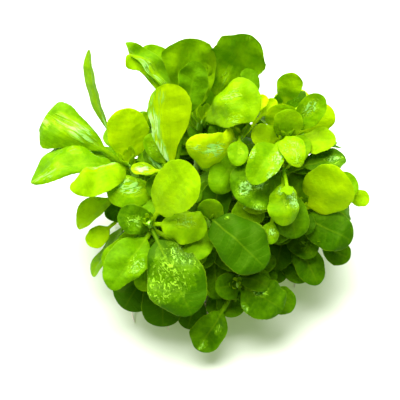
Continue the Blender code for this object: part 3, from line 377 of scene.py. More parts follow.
class Midrib:
    """The line of a leaf: a Bezier curve from base to tip, raised to the side that the leaf faces."""

    LEAST_STALK = 0.06
    STALK_SINK = 0.5
    PULL = (0.0, 0.3, 0.7, 1.0)
    RISE = (0.0, 1.0, 1.0, 0.0)

    def __init__(self, leaf: Leaf, stem: Stem, inside: bool) -> None:
        """Finds where the leaf starts and which way it runs.

        Args:
            leaf: the leaf.
            stem: the stem that it grows from.
            inside: True for a leaf that is one solid with its stem, which starts behind its middle.
        """
        run = stem.run(leaf.along)
        axis = stem.axis(leaf.along) + run * leaf.slide
        side = leaf.tip - axis
        side = (side - run * side.dot(run)).normalized()
        radius = stem.radius(leaf.along)
        self.base = axis + side * (-self.STALK_SINK * radius if inside else radius + GAP)
        chord = leaf.tip - self.base
        self.reach = chord.length
        self.along = chord.normalized()
        self.normal = (leaf.facing - self.along * leaf.facing.dot(self.along)).normalized()
        self.side = np.array(self.normal.cross(self.along))
        self.stalk = max(self.LEAST_STALK, 1 - leaf.length / self.reach)
        self.bow = leaf.bow

    def frame(self, rows: Array) -> tuple[Array, Array, Array]:
        """The curve and its directions.

        Args:
            rows: shares of the way from base to tip.

        Returns:
            For each row the place on the midrib, the direction along it, and the way out of the
            blade, which is square to that and to the leaf's side.
        """
        run = np.array(self.PULL) * self.reach
        rise = np.array(self.RISE) * self.bow * 4 / 3
        u = rows[:, None]
        weights = np.hstack([(1 - u) ** 3, 3 * u * (1 - u) ** 2, 3 * u**2 * (1 - u), u**3])
        slopes = np.hstack([-3 * (1 - u) ** 2, 3 * (1 - u) * (1 - 3 * u), 3 * u * (2 - 3 * u), 3 * u**2])
        middle = np.array(self.base) + np.outer(weights @ run, self.along)
        middle = middle + np.outer(weights @ rise, self.normal)
        tangent = np.outer(slopes @ run, self.along) + np.outer(slopes @ rise, self.normal)
        tangent /= np.linalg.norm(tangent, axis=1, keepdims=True)
        return middle, tangent, np.cross(tangent, self.side)


def circle(count: int) -> Array:
    """So many even turns round a circle, in radians."""
    return np.linspace(0, 2 * pi, count, endpoint=False)


def width_along(share: Array, taper: float, tip: float = 0.5) -> Array:
    """Half of a blade's width along it: the share to one power by the rest to another, peak 1.

    Args:
        share: how far along the blade, 0 at its start and 1 at its tip.
        taper: the power at the base, larger for a narrower wedge.
        tip: the power at the tip, larger for a more pointed one.

    Returns:
        The half width as a share of its widest.
    """
    widest = taper / (taper + tip)
    peak = widest**taper * (1 - widest) ** tip
    return share**taper * (1 - share) ** tip / peak


class Blank:
    """The plain leaf that the solids are made of: a sphere drawn out from its base to its tip."""

    STALK_HALF_WIDTH = 0.75
    SMALL_STALK_HALF_WIDTH = 0.6
    SMALL_WIDTH = 7.0
    STALK_HALF_THICKNESS = 0.5
    BLADE_HALF_THICKNESS = 0.35
    FLAT_FOLD = 0.0001
    FOLD_START = 4

    def __init__(self, steps: int, sides: int) -> None:
        """Takes the level and the angle round the section of each vertex from a sphere.

        Args:
            steps: how many levels lie between the two poles.
            sides: how many vertices go round a level.
        """
        self.steps = steps
        made = bmesh.new()
        bmesh.ops.create_uvsphere(made, u_segments=sides, v_segments=steps, radius=1)
        made.verts.index_update()
        places = np.array([vertex.co for vertex in made.verts])
        self.level = np.rint(np.arccos(np.clip(-places[:, 2], -1, 1)) / pi * steps).astype(int)
        self.angle = np.arctan2(places[:, 1], places[:, 0])
        self.faces = [[vertex.index for vertex in face.verts] for face in made.faces]
        self.blade = [face for face in self.faces if self.level[face].min() > 0]
        made.free()

    def points(self, leaf: Leaf, midrib: Midrib, room: float) -> Array:
        """The drawn-out sphere: thin ovals along the midrib, each bent into an arc.

        Args:
            leaf: the leaf.
            midrib: its line.
            room: how far the surface is pushed outwards.

        Returns:
            The vertices' places, in millimetres.
        """
        stalk = midrib.stalk
        on_stalk = stalk * np.minimum(self.level, 1)
        step = np.maximum(self.level - 1, 0) / (self.steps - 1)
        rows = on_stalk + (1 - stalk) * np.sin(step * pi / 2)
        middle, tangent, upward = midrib.frame(rows)
        share = np.clip((rows - stalk) / (1 - stalk), 0, 1)
        pole = (self.level == 0) | (self.level == self.steps)
        narrow = self.STALK_HALF_WIDTH if leaf.width > self.SMALL_WIDTH else self.SMALL_STALK_HALF_WIDTH
        half = leaf.width / 2 * width_along(share, leaf.taper)
        half = np.maximum(half, narrow * (1 - share) ** 0.5) + room
        extra = self.STALK_HALF_THICKNESS - self.BLADE_HALF_THICKNESS
        thick = self.BLADE_HALF_THICKNESS + extra * (1 - share) ** 4 + room
        half = np.where(pole, 0, half)
        thick = np.where(pole, 0, thick)
        bend = leaf.fold * np.minimum(1, share * self.FOLD_START)
        bend = np.where(np.abs(bend) < self.FLAT_FOLD, self.FLAT_FOLD, bend)
        angle = bend * np.cos(self.angle)
        across = half * np.sin(angle) / bend
        lift = half * (1 - np.cos(angle)) / bend + thick * np.sin(self.angle)
        ends = np.where(pole, np.where(self.level == 0, -room, room), 0)
        return middle + np.outer(across, midrib.side) + lift[:, None] * upward + ends[:, None] * tangent


class Shell:
    """What is already in place, kept clear of by later leaves.

    Leaves of one shoot may meet where they grow out of the stem, but not with their blades.
    """

    def __init__(self, owner: str, points: Array, faces: list, blade: Sequence = ()) -> None:
        """Keeps the shell's surface as trees for a quick test.

        Args:
            owner: the solid that the shell belongs to.
            points: its vertices, in millimetres.
            faces: the vertices of each face.
            blade: the faces of a leaf's blade, without its stalk.
        """
        self.owner = owner
        self.low = points.min(axis=0)
        self.high = points.max(axis=0)
        self.tree = BVHTree.FromPolygons(points.tolist(), faces)
        self.blade = BVHTree.FromPolygons(points.tolist(), blade) if len(blade) else None

    def meets(self, other: "Shell") -> bool:
        """Whether this shell and another cross where they may not.

        Args:
            other: the shell to test against.

        Returns:
            True if any face of one crosses a face of the other.
        """
        if (self.low > other.high).any() or (other.low > self.high).any():
            return False
        if self.owner != other.owner:
            return bool(self.tree.overlap(other.tree))
        return bool(self.blade and other.blade and self.blade.overlap(other.blade))


@dataclass
class RootPlan:
    """The sizes of the root mat and its loose ends, as the solid has them."""

    radius: float = 22.0
    height: float = 10.0
    sides: int = 16
    rings: int = 6
    waves: tuple = ((3, 0.05, 0.5), (7, 0.04, 0.0))
    room: tuple = (1.02, 1.02, 1.04)
    root_radius: float = 0.55
    end_height: float = 0.58
    start: float = 15.0
    start_height: float = 4.0
    knee_rise: float = 2.0
    lying: float = 7.0

    def top(self, place: Sequence[float]) -> float:
        """The height of the mat at a place, a half oval over its radius."""
        out = (Vector(place[:2]).length / self.radius) ** 2
        return self.height * max(0.0, 1 - out) ** 0.5

    def edge(self, turn: Array) -> Array:
        """The mat's wavy edge, as a share of its radius, by the turn round it in radians."""
        return 1 + sum(height * np.sin(count * turn + start) for count, height, start in self.waves)

    def line(self, turn: float, reach: float, heading: float) -> list[Vector]:
        """A loose root: out of the mat, then down to where its end lies.

        Args:
            turn: degrees round the mat at which the root ends.
            reach: how far out it ends.
            heading: which way its last stretch points, in degrees.

        Returns:
            The start, the knee and the end of the root.
        """
        end = around(turn, reach, self.end_height)
        knee = end - around(heading, self.lying, -self.knee_rise)
        start = Vector((knee.x, knee.y, 0)).normalized() * self.start + Vector((0, 0, self.start_height))
        return [start, knee, end]

    def dome(self) -> tuple[Array, list]:
        """The plain dome of the solid: a sphere with a wavy edge, flat below.

        Returns:
            Its vertices in metres and the vertices of each face.
        """
        made = bmesh.new()
        bmesh.ops.create_uvsphere(made, u_segments=self.sides, v_segments=self.rings, radius=1)
        for vertex in made.verts:
            edge = self.edge(np.arctan2(vertex.co.y, vertex.co.x))
            vertex.co.x *= self.radius * MM * edge
            vertex.co.y *= self.radius * MM * edge
            vertex.co.z = max(0.0, vertex.co.z) * self.height * MM
        made.verts.index_update()
        points = np.array([vertex.co for vertex in made.verts])
        faces = [[vertex.index for vertex in face.verts] for face in made.faces]
        made.free()
        return points, faces


class Settling:
    """Finds room for every leaf, in the order and by the changes that the solids were built with."""

    LOWEST = 0.8
    FILL_TRIALS = 400
    UNDER_TRIALS = 60
    UNDER_COUNT = 14
    UNDER_SEED = 11
    UNDER_START = 0.12
    UNDER_RUN = 0.6
    UNDER_REACH = (8, 5)
    UNDER_DIP = 0.2
    UNDER_WIDTH = 0.6
    UNDER_LEAN = 0.4
    UNDER_BOW = 1.5
    # Gaps that look dark inside the tuft, each closed by a small deep green leaf, whose deep tone is partly
    # painted shade.
    DARK_GAPS = (
        ("top", seen(-1, 36, 30)),
        ("top_back", seen(-2, 34, 26)),
        ("left", seen(-21, 26.5, 24)),
        ("front", seen(-3, 21, 28)),
        ("front_left", seen(-12, 6, 26)),
        ("middle", seen(13, 11, 25)),
    )
    SHELL_SIDES = 8
    STEM_POINTS = 5
    BUD_SIDES = 6
    BUD_RADIUS = 2.0
    BUD_LENGTH = 7.0
    BUD_RINGS = 4
    BUD_OUT = 0.9

    def __init__(self, roots: RootPlan) -> None:
        """Puts the stems, the buds and the root mat in place.

        Args:
            roots: the sizes of the root mat.
        """
        self.stems = {name: Stem(name, roots.top(plan.foot)) for name, plan in SHOOTS.items()}
        self.large = Blank(6, 6)
        self.small = Blank(5, 4)
        self.trials = self.room_trials()
        self.placed: list[Shell] = []
        for name, stem in self.stems.items():
            points = [stem.axis(share) for share in np.linspace(0, 1, self.STEM_POINTS)]
            radii = [stem.radius(share) for share in np.linspace(0, 1, self.STEM_POINTS)]
            self.placed.append(self.tube_shell(name, points, radii))
            self.placed.append(self.bud_shell(name))
        points, faces = roots.dome()
        self.placed.append(Shell("root_mat", points / MM * roots.room, faces))
        for place in ROOT_ENDS:
            self.placed.append(self.tube_shell("root_mat", roots.line(*place), [roots.root_radius] * 3))

    def tube_shell(self, owner: str, points: list[Vector], radii: list[float]) -> Shell:
        """A tube's shell, rings of vertices square to its run, grown by the room.

        Args:
            owner: the solid that it belongs to.
            points: the line of the tube.
            radii: its radius at each point.

        Returns:
            The shell.
        """
        turns = circle(self.SHELL_SIDES)
        rings = []
        for number, (point, radius) in enumerate(zip(points, radii)):
            run = (points[min(number + 1, len(points) - 1)] - points[max(number - 1, 0)]).normalized()
            out = run.orthogonal().normalized() * (radius + ROOM)
            rings.append([point + Matrix.Rotation(turn, 3, run) @ out for turn in turns])
        shell = np.array(rings).reshape(-1, 3)
        index = np.arange(len(shell)).reshape(len(points), self.SHELL_SIDES)
        beside = np.roll(index, -1, axis=1)
        faces = np.stack([index[:-1], beside[:-1], beside[1:], index[1:]], axis=-1).reshape(-1, 4).tolist()
        return Shell(owner, shell, faces + [index[0].tolist(), index[-1].tolist()])

    def bud_shell(self, name: str) -> Shell:
        """The shell of the young leaves that stand together at the tip of a shoot."""
        made = bmesh.new()
        bmesh.ops.create_uvsphere(made, u_segments=self.BUD_SIDES, v_segments=self.BUD_RINGS, radius=1)
        turn = self.stems[name].run(1.0).to_track_quat("Z", "Y").to_matrix()
        for vertex in made.verts:
            out = vertex.co.xy * (self.BUD_RADIUS + GAP)
            rise = (vertex.co.z + self.BUD_OUT) * self.BUD_LENGTH / 2
            vertex.co = (SHOOTS[name].crown + turn @ out.to_3d() + turn.col[2] * rise) * MM
        made.verts.index_update()
        points = np.array([vertex.co for vertex in made.verts]) / MM
        faces = [[vertex.index for vertex in face.verts] for face in made.faces]
        made.free()
        return Shell(name, points, faces)

    @staticmethod
    def room_trials() -> list[tuple]:
        """Small changes that a leaf tries until it has room, the least first.

        Returns:
            The lift, roll, slide, swing and bow of each trial.
        """
        lifts = (0, 1.5, -1.5, 3, -3, 4.5, -4.5, 6, -6, 8, -8)
        rolls = (0, 12, -12, 24, -24, 36, -36)
        slides = (0, -1.5, 1.5, -3, -4.5, -6, -8)
        swings = (0, 1.5, -1.5, 3, -3)
        bows = (0, 1.5, -1.5, 3)

        def effort(trial: tuple) -> float:
            """How large a change is: 2 mm of lift or bow, 14 degrees or 4 mm of slide count as one."""
            lift, roll, slide, swing, bow = trial
            return abs(lift) / 2 + abs(roll) / 14 + abs(slide) / 4 + abs(swing) + abs(bow) / 2

        return sorted(product(lifts, rolls, slides, swings, bows), key=effort)

    def changed(self, leaf: Leaf, trial: tuple) -> Leaf:
        """The leaf after a trial's change.

        Args:
            leaf: the leaf as planned.
            trial: its lift, roll, slide along the stem, swing to the side and extra bow.

        Returns:
            The changed leaf.
        """
        lift, roll, slide, swing, bow = trial
        along = (leaf.tip - self.stems[leaf.shoot].axis(leaf.along)).normalized()
        normal = (leaf.facing - along * leaf.facing.dot(along)).normalized()
        turn = Matrix.Rotation(radians(roll), 3, along)
        return replace(
            leaf,
            tip=leaf.tip + normal * lift + along.cross(normal) * swing,
            facing=turn @ leaf.facing,
            slide=leaf.slide + slide,
            bow=leaf.bow + bow,
        )

    def settled(self, leaf: Leaf, blank: Blank, owner: str, trials: list[tuple]) -> Optional[Leaf]:
        """The leaf with the least change that keeps it clear of what is in place.

        Args:
            leaf: the leaf as planned.
            blank: the plain leaf that it is tried with.
            owner: the solid that it belongs to.
            trials: the changes to try.

        Returns:
            The changed leaf, which is then in place, or None if it has no room.
        """
        inside = owner == leaf.shoot
        for trial in trials:
            moved = self.changed(leaf, trial)
            points = blank.points(moved, Midrib(moved, self.stems[leaf.shoot], inside), ROOM)
            if points[:, 2].min() < self.LOWEST:
                continue
            shell = Shell(owner, points, blank.faces, blank.blade)
            if not any(shell.meets(other) for other in self.placed):
                self.placed.append(shell)
                return moved
        return None

    def filling(self, name: str) -> Iterator[Leaf]:
        """Leaves set round a stem at the angle of a spiral, on the side that looks out of the tuft."""
        plan = SHOOTS[name]
        outward = np.degrees(np.arctan2(plan.crown.y, plan.crown.x))
        for number in range(plan.filling):
            along = FILL_START + FILL_RUN * (number + 0.5) / plan.filling
            turn = outward + FILL_SPREAD * ((number * FILL_TURN / 360 + FILL_START) % 1 - 0.5)
            out = around(turn, 1, 0)
            rise = Vector((0, 0, 1))
            tip = self.stems[name].axis(along) + out * plan.reach + rise * plan.reach * (along - 0.5)
            # The lower leaves of the filling are deep green, the upper ones green: partly painted shade
            # inside the tuft.
            tone = Tone.DEEP if along < FILL_RUN else Tone.GREEN
            yield Leaf(f"{name} fill {number}", name, along - FILL_STALK, tip, plan.reach * FILL_LENGTH,
                       plan.reach * FILL_WIDTH, rise + out * FILL_LEAN, FILL_BOW, FILL_FOLD, tone=tone)

    def undergrowth(self) -> Iterator[Leaf]:
        """Small leaves low on the stems that close the tuft's gaps, their deep green partly painted shade.

        Yields:
            Each leaf as planned, at random turns round its stem.
        """
        luck = np.random.default_rng(self.UNDER_SEED)
        least, more = self.UNDER_REACH
        for number, (name, place) in enumerate(self.DARK_GAPS):
            yield Leaf(f"gap {number}", name, 0.8, place, 8, 6, seen(0, 0, 1), 1.0, -0.2, tone=Tone.DEEP)
        for name, stem in self.stems.items():
            for along, turn, reach, rise in luck.uniform(0, 1, (self.UNDER_COUNT, 4)):
                along = self.UNDER_START + self.UNDER_RUN * along
                reach = least + more * reach
                out = around(360 * turn, 1, 0)
                tip = stem.axis(along) + out * reach + Vector((0, 0, reach * (rise - self.UNDER_DIP)))
                yield Leaf("under", name, along, tip, reach * FILL_LENGTH, reach * self.UNDER_WIDTH,
                           Vector((0, 0, 1)) + out * self.UNDER_LEAN, self.UNDER_BOW, FILL_FOLD,
                           tone=Tone.DEEP)

    def settle_all(self) -> tuple[list[Leaf], dict[str, list[Leaf]]]:
        """Settles the large leaves, then the small ones, then the undergrowth.

        Returns:
            The large leaves, and the small leaves of each shoot.
        """
        large = [self.settled(leaf, self.large, leaf.name, self.trials) for leaf in LARGE_LEAVES]
        small: dict[str, list[Leaf]] = {name: [] for name in SHOOTS}
        filling = [leaf for name in SHOOTS for leaf in self.filling(name)]
        for leaf in SMALL_LEAVES + filling:
            moved = self.settled(leaf, self.small, leaf.shoot, self.trials[: self.FILL_TRIALS])
            if moved:
                small[leaf.shoot].append(moved)
        for leaf in self.undergrowth():
            moved = self.settled(leaf, self.small, leaf.shoot, self.trials[: self.UNDER_TRIALS])
            if moved:
                small[leaf.shoot].append(moved)
        return large, small


@dataclass
class Surface:
    """A closed surface in the making: places in millimetres, faces, and values at each vertex."""

    points: Array
    quads: Array
    triangles: Array
    marks: dict[str, Array]
    material: int = 0

    @staticmethod
    def tubes(rings: Array, starts: Array, ends: Array) -> tuple[Array, Array, Array]:
        """Closed tubes: rings of vertices joined by quads, with a pole of triangles at each end.

        Args:
            rings: tubes by rings by sides by three.
            starts: the pole before each tube's first ring.
            ends: the pole after its last ring.

        Returns:
            All points, quads and triangles, the faces pointing out of rings that turn leftwards
            seen from the end.
        """
        count, rows, sides = rings.shape[:3]
        size = rows * sides + 2
        points = np.concatenate([starts[:, None], rings.reshape(count, -1, 3), ends[:, None]], axis=1)
        first = np.arange(count)[:, None, None] * size
        index = first + 1 + np.arange(rows * sides).reshape(1, rows, sides)
        beside = np.roll(index, -1, axis=2)
        quads = np.stack([index[:, :-1], beside[:, :-1], beside[:, 1:], index[:, 1:]], axis=-1)
        start = np.broadcast_to(first[:, 0], (count, sides))
        end = start + size - 1
        opened = np.stack([start, beside[:, 0], index[:, 0]], axis=-1)
        closed = np.stack([end, index[:, -1], beside[:, -1]], axis=-1)
        return points.reshape(-1, 3), quads.reshape(-1, 4), np.concatenate([opened, closed]).reshape(-1, 3)


class Piece:
    """A finished mesh object that rides with the tuft and stands for a solid of it."""

    def __init__(self, name: str, surfaces: list[Surface], materials: list, slot: Finish, node: str) -> None:
        """Joins the surfaces into one mesh and puts it in the scene.

        Args:
            name: the piece's name.
            surfaces: its closed surfaces.
            materials: the materials that the surfaces number.
            slot: the piece's finish; not used.
            node: the solid that the piece stands for.
        """
        starts = np.cumsum([0] + [len(surface.points) for surface in surfaces[:-1]])
        points = np.concatenate([surface.points for surface in surfaces]) * MM
        quads = np.concatenate([s.quads + start for s, start in zip(surfaces, starts)])
        triangles = np.concatenate([s.triangles + start for s, start in zip(surfaces, starts)])
        mesh = bpy.data.meshes.new(name)
        mesh.from_pydata(points, [], quads.tolist() + triangles.tolist())
        number = np.concatenate([np.full(len(s.quads), s.material) for s in surfaces]
                                + [np.full(len(s.triangles), s.material) for s in surfaces])
        mesh.polygons.foreach_set("material_index", number.astype(np.int32))
        for mark in surfaces[0].marks:
            values = np.concatenate([surface.marks[mark] for surface in surfaces]).astype(np.float32)
            mesh.attributes.new(mark, "FLOAT", "POINT").data.foreach_set("value", values)
        for material in materials:
            mesh.materials.append(material)
        mesh.shade_smooth()
        self.object = bpy.data.objects.new(name, mesh)
        bpy.context.scene.collection.objects.link(self.object)
        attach(self.object, "root")
        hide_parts(node)
        low, high = points.min(axis=0) / MM, points.max(axis=0) / MM
        size = " x ".join(f"{side:.1f}" for side in high - low)
        log.info("%s: %d faces, %s mm, for %s", name, len(mesh.polygons), size, node)


@dataclass(frozen=True)
class Wet:
    """A wet patch on a blade: its middle along and across the leaf, its size, and how wet it is."""

    along: float
    across: float
    size: float
    # Past 1 the amount makes a patch glossier and its painted highlight lines fuller and paler: lime at 1,
    # paler by 1.5, near white by 1.9.
    amount: float = 1.0


class Side(Enum):
    """The halves of a blade, seen from its base to its tip with its upper face towards the viewer."""

    LEFT = 1
    RIGHT = -1


@dataclass(frozen=True)
class Lobe:
    """A swelling of one half's outline, or a bay: its place along, its reach in millimetres, its size."""

    side: Side
    along: float
    reach: float
    size: float = 0.25


@dataclass(frozen=True)
class Habit:
    """What is a leaf's own, apart from its place.

    The left and right sides are those of someone who looks from the leaf's base to its tip with
    its upper face towards them. The lean makes the left half wider and the right half narrower.
    The left value bends that half upwards, in radians at its edge, on top of the leaf's fold.
    The shift moves its tip as the viewer sees it: across, up the view and towards the viewer.
    """

    tip: float = 0.5
    taper: Optional[float] = None
    wave: float = 0.3
    crumple: float = 1.0
    lean: float = 0.0
    left: float = 0.0
    curl: float = 0.0
    wide: float = 1.0
    # The shade lifts or lowers the leaf's tone, leaf by leaf: partly the leaf's own green, partly painted
    # light and shade, darker for leaves low at the front and in the gaps, lighter for leaves that catch the
    # light.
    shade: float = 0.0
    # The streak scales the run along the leaf that the wet patches' noises follow: below 1, their painted
    # highlight lines and small swells are drawn out into streaks along it.
    streak: float = 0.8
    shift: tuple[float, float, float] = (0.0, 0.0, 0.0)
    bow: float = 0.0
    lobes: tuple[Lobe, ...] = ()
    wet: tuple[Wet, ...] = ()

    def pose(self, leaf: Leaf) -> Leaf:
        """The leaf with its tip shifted and its bow changed."""
        return replace(leaf, tip=leaf.tip + seen(*self.shift), bow=leaf.bow + self.bow)


HABITS: dict[str, Habit] = {
    "leaf_front_1": Habit(
        tip=0.55, crumple=0.8, shade=-0.53, shift=(0, 0.8, 0),
        lobes=(Lobe(Side.RIGHT, 0.2, -1.4), Lobe(Side.RIGHT, 0.85, -0.6)),
        wet=(Wet(0.45, 0.1, 0.5, 1.0), Wet(0.5, -0.6, 0.45, 1.0), Wet(0.3, 0.6, 0.4, 1.2))),
    "leaf_front_2": Habit(
        tip=0.4, wave=0.15, crumple=0.5, wide=0.9, lean=-0.1, shade=-0.02,
        lobes=(Lobe(Side.RIGHT, 0.25, -1.5),)),
    "leaf_front_3": Habit(
        tip=0.56, wide=0.93, shade=-0.46, lean=-0.12, shift=(0, 0, 1.6),
        lobes=(Lobe(Side.LEFT, 0.75, -1.2, 0.25), Lobe(Side.LEFT, 0.28, 0.9, 0.15)),
        wet=(Wet(0.45, 0.5, 0.35, 1.25),)),
    "leaf_front_4": Habit(
        tip=0.5, wave=0.35, crumple=1.2, wide=0.97, shade=-0.19, shift=(0, -0.6, 0),
        lobes=(Lobe(Side.RIGHT, 0.25, -1.6),), wet=(Wet(0.15, 0.6, 0.12, 0.8),)),
    "leaf_front_5": Habit(wave=0.5, shade=0.08, wet=(Wet(0.55, 0.3, 0.35, 1.2),)),
    "leaf_left_1": Habit(
        wave=0.3, wide=0.85, lean=0.2, shade=-0.1, streak=0.2, lobes=(Lobe(Side.RIGHT, 0.65, -1.2, 0.3),),
        wet=(Wet(0.35, -0.8, 0.45, 1.6),)),
    "leaf_left_2": Habit(wave=0.2, crumple=0.6, shade=0.32),
    "leaf_left_3": Habit(
        tip=0.62, wave=0.4, wide=1.1, lean=-0.3, shade=-0.32, streak=0.3, shift=(0, 0.4, 2.0),
        lobes=(Lobe(Side.RIGHT, 0.48, 2.8), Lobe(Side.RIGHT, 0.12, -5.0, 0.12),
               Lobe(Side.LEFT, 0.35, -2.2, 0.3)),
        wet=(Wet(0.45, -0.5, 0.12, 1.3), Wet(0.8, 0.2, 0.35, 1.3))),
    "leaf_left_4": Habit(
        tip=0.16, wave=0.2, taper=0.8, curl=-1.5, shade=-0.04, streak=0.14, shift=(1.0, -0.2, -1.2),
        lobes=(Lobe(Side.RIGHT, 0.6, -1.2, 0.3), Lobe(Side.LEFT, 0.72, 2.2, 0.2),
               Lobe(Side.LEFT, 0.94, -1.2, 0.08)),
        wet=(Wet(0.4, -0.1, 0.42, 1.5), Wet(0.7, -0.1, 0.25, 1.3), Wet(0.97, 0.3, 0.2, 1.3))),
    "leaf_left_5": Habit(
        tip=0.6, wave=0.05, crumple=0.4, taper=0.9, wide=0.85, shade=0.15, streak=0.2, shift=(-0.6, 0, 0),
        bow=1.6, wet=(Wet(0.1, 0.0, 0.35, 1.4),)),
    "leaf_left_6": Habit(wide=0.85, shade=0.05, streak=0.15, lobes=(Lobe(Side.RIGHT, 0.55, 1.8, 0.3),)),
    "leaf_left_7": Habit(wide=0.85, shade=0.1, shift=(-2.4, 0.4, 0)),
    "leaf_crest_1": Habit(
        tip=0.42, taper=1.0, crumple=0.3, wave=0.2, lean=0.08, left=0.35, streak=0.12, shade=0.2,
        lobes=(Lobe(Side.RIGHT, 0.25, -1.2, 0.3),),
        wet=(Wet(0.85, 0.3, 0.2, 1.3), Wet(0.2, 0.8, 0.35, 1.9), Wet(0.55, 0.8, 0.35, 1.9),
             Wet(0.85, 0.9, 0.2, 1.6))),
    "leaf_top_1": Habit(
        tip=0.5, taper=0.85, wave=0.3, lean=0.2, wide=0.95, shade=-0.2, streak=0.4, shift=(-0.8, -0.2, 0),
        lobes=(Lobe(Side.RIGHT, 0.9, 1.6, 0.15), Lobe(Side.LEFT, 0.35, -2.0, 0.25)),
        wet=(Wet(0.6, 0.4, 0.3, 1.2), Wet(0.6, -0.7, 0.2, 1.2))),
    "leaf_top_2": Habit(
        tip=0.5, wave=0.15, crumple=0.7, lean=0.2, shift=(-0.4, 0.6, 0), shade=0.2, streak=0.5,
        lobes=(Lobe(Side.RIGHT, 0.1, 2.4, 0.12), Lobe(Side.RIGHT, 0.5, -1.0, 0.3),
               Lobe(Side.LEFT, 0.15, -2.4, 0.2)),
        wet=(Wet(0.55, 0.1, 0.35, 1.5), Wet(0.85, 0.0, 0.2, 1.3))),
    "leaf_top_3": Habit(crumple=1.3),
    "leaf_middle_1": Habit(
        tip=0.55, wide=0.92, crumple=0.7, shade=0.06, shift=(-0.9, -1.2, 0),
        wet=(Wet(0.3, 0.6, 0.38, 1.45), Wet(0.65, 0.95, 0.35, 1.4), Wet(0.55, -0.95, 0.25, 1.4))),
    "leaf_middle_2": Habit(
        wave=0.5, crumple=1.3, shade=-0.26, shift=(1.8, -0.5, 0),
        wet=(Wet(0.75, -0.1, 0.28, 1.5), Wet(0.5, 0.1, 0.25, 1.4), Wet(0.8, 0.95, 0.25, 1.2))),
    "leaf_middle_3": Habit(wave=0.4, wet=(Wet(0.4, 0.6, 0.4, 1.7), Wet(0.2, -0.3, 0.25, 1.4))),
    "leaf_middle_4": Habit(wide=0.88, shade=0.02),
    "leaf_middle_5": Habit(
        tip=0.55, wide=0.88, shade=-0.25, shift=(0, -0.4, 0), wet=(Wet(0.55, 0.0, 0.8, 1.15),)),
    "leaf_right_1": Habit(tip=0.45, wave=0.15, crumple=0.6, shade=0.08, shift=(-1.2, 0, 0)),
    "leaf_right_2": Habit(wide=0.82, shade=0.06, shift=(0.2, 0.6, 0), wet=(Wet(0.6, 0.15, 0.35, 1.5),)),
    "leaf_right_3": Habit(shade=-0.1),
    "leaf_right_4": Habit(crumple=1.3, wide=0.9, shade=-0.14, shift=(0.8, 0.7, 0)),
    "leaf_right_5": Habit(crumple=1.3, tip=0.56, wide=0.85, shade=-0.1, shift=(0.8, 0.5, 0)),
    "leaf_low_1": Habit(
        wave=0.4, crumple=1.4, wide=0.88, shade=-0.3, shift=(-1.9, 0.6, 0),
        wet=(Wet(0.85, 0.1, 0.25, 1.2), Wet(0.35, 0.4, 0.2, 1.1))),
    "leaf_low_2": Habit(
        wave=0.4, crumple=1.3, shade=-0.38, shift=(-0.6, -0.4, 1.5),
        lobes=(Lobe(Side.LEFT, 0.4, -1.4, 0.3), Lobe(Side.LEFT, 0.95, 1.2, 0.12)),
        wet=(Wet(0.4, 0.25, 0.28, 1.6), Wet(0.3, -0.9, 0.2, 1.3))),
    "leaf_low_3": Habit(shift=(-0.6, 0, 0), shade=-0.3),
    "leaf_back_1": Habit(
        tip=0.4, shade=0.18, crumple=1.2,
        lobes=(Lobe(Side.LEFT, 0.85, 1.2, 0.15), Lobe(Side.RIGHT, 0.85, 1.0, 0.15))),
    "leaf_back_2": Habit(
        tip=0.42, wave=0.5, crumple=1.5, wide=1.1, shade=0.42, streak=0.3, shift=(0.6, 0, 0),
        lobes=(Lobe(Side.LEFT, 0.7, 1.2, 0.15),),
        wet=(Wet(0.96, 0.0, 0.12, 1.2), Wet(0.3, 0.1, 0.25, 0.9))),
    "leaf_back_3": Habit(wide=0.85, shade=0.12, shift=(0.8, 0, 0)),
    "leaf_back_4": Habit(tip=0.7, shade=0.05, streak=0.2, wet=(Wet(0.5, 0.5, 0.5, 1.5),)),
    "leaf_back_5": Habit(
        tip=0.5, wide=0.62, lean=-0.3, taper=0.9, streak=0.2, shift=(1.2, 1.4, 0),
        lobes=(Lobe(Side.LEFT, 0.45, -2.0), Lobe(Side.LEFT, 0.85, 1.2, 0.15)),
        wet=(Wet(0.4, -0.2, 0.4, 1.3),)),
    "leaf_top_4": Habit(shade=0.35),
    "leaf_top_5": Habit(wide=0.85, shade=0.35, shift=(0.8, 0.4, 0)),
    "1": Habit(streak=0.4, wet=(Wet(0.5, -0.3, 0.45, 1.5),)),
    "2": Habit(wave=0.4, shade=-0.15, wet=(Wet(0.9, 0.0, 0.3, 1.3),)),
    "3": Habit(shade=0.3),
    "4": Habit(shade=0.02, wet=(Wet(0.7, 0.0, 0.35, 1.4),)),
    "5": Habit(shade=0.05),
    "6": Habit(shade=-0.2),
    "7": Habit(shade=-0.7),
    "8": Habit(wide=0.88, shade=0.08, shift=(-1.0, 0, 0)),
    "9": Habit(wet=(Wet(0.6, 0.1, 0.4, 1.4),)),
    "10": Habit(shift=(0, -2.4, 0), wet=(Wet(0.5, 0.3, 0.3, 1.0),)),
    "11": Habit(shade=-0.45),
    "13": Habit(shade=0.3, wet=(Wet(0.4, 0.2, 0.4, 1.4),)),
    "17": Habit(shade=-0.25),
    "19": Habit(shade=-0.5, crumple=1.3, shift=(-1.8, -0.6, 0)),
    "20": Habit(shade=0.06),
    "21": Habit(shade=0.1),
    "22": Habit(shade=0.05, shift=(-1.8, 0, 0)),
    "27": Habit(wave=0.2, streak=0.25, wet=(Wet(0.5, 0.0, 0.6, 1.8),)),
    "28": Habit(wave=0.2, streak=0.25, wet=(Wet(0.5, 0.2, 0.5, 1.4),)),
    "30": Habit(shade=-0.25),
    "31": Habit(shade=-0.4),
    "41": Habit(wet=(Wet(0.5, 0.2, 0.4, 1.2),)),
    "42": Habit(wet=(Wet(0.5, 0.2, 0.4, 1.2),)),
    "46": Habit(shift=(-0.5, 0, -3.5)),
    "48": Habit(shade=-0.5),
    "53": Habit(shade=-0.9),
    "front fill 3": Habit(shift=(0.5, 0, -3.0)),
}


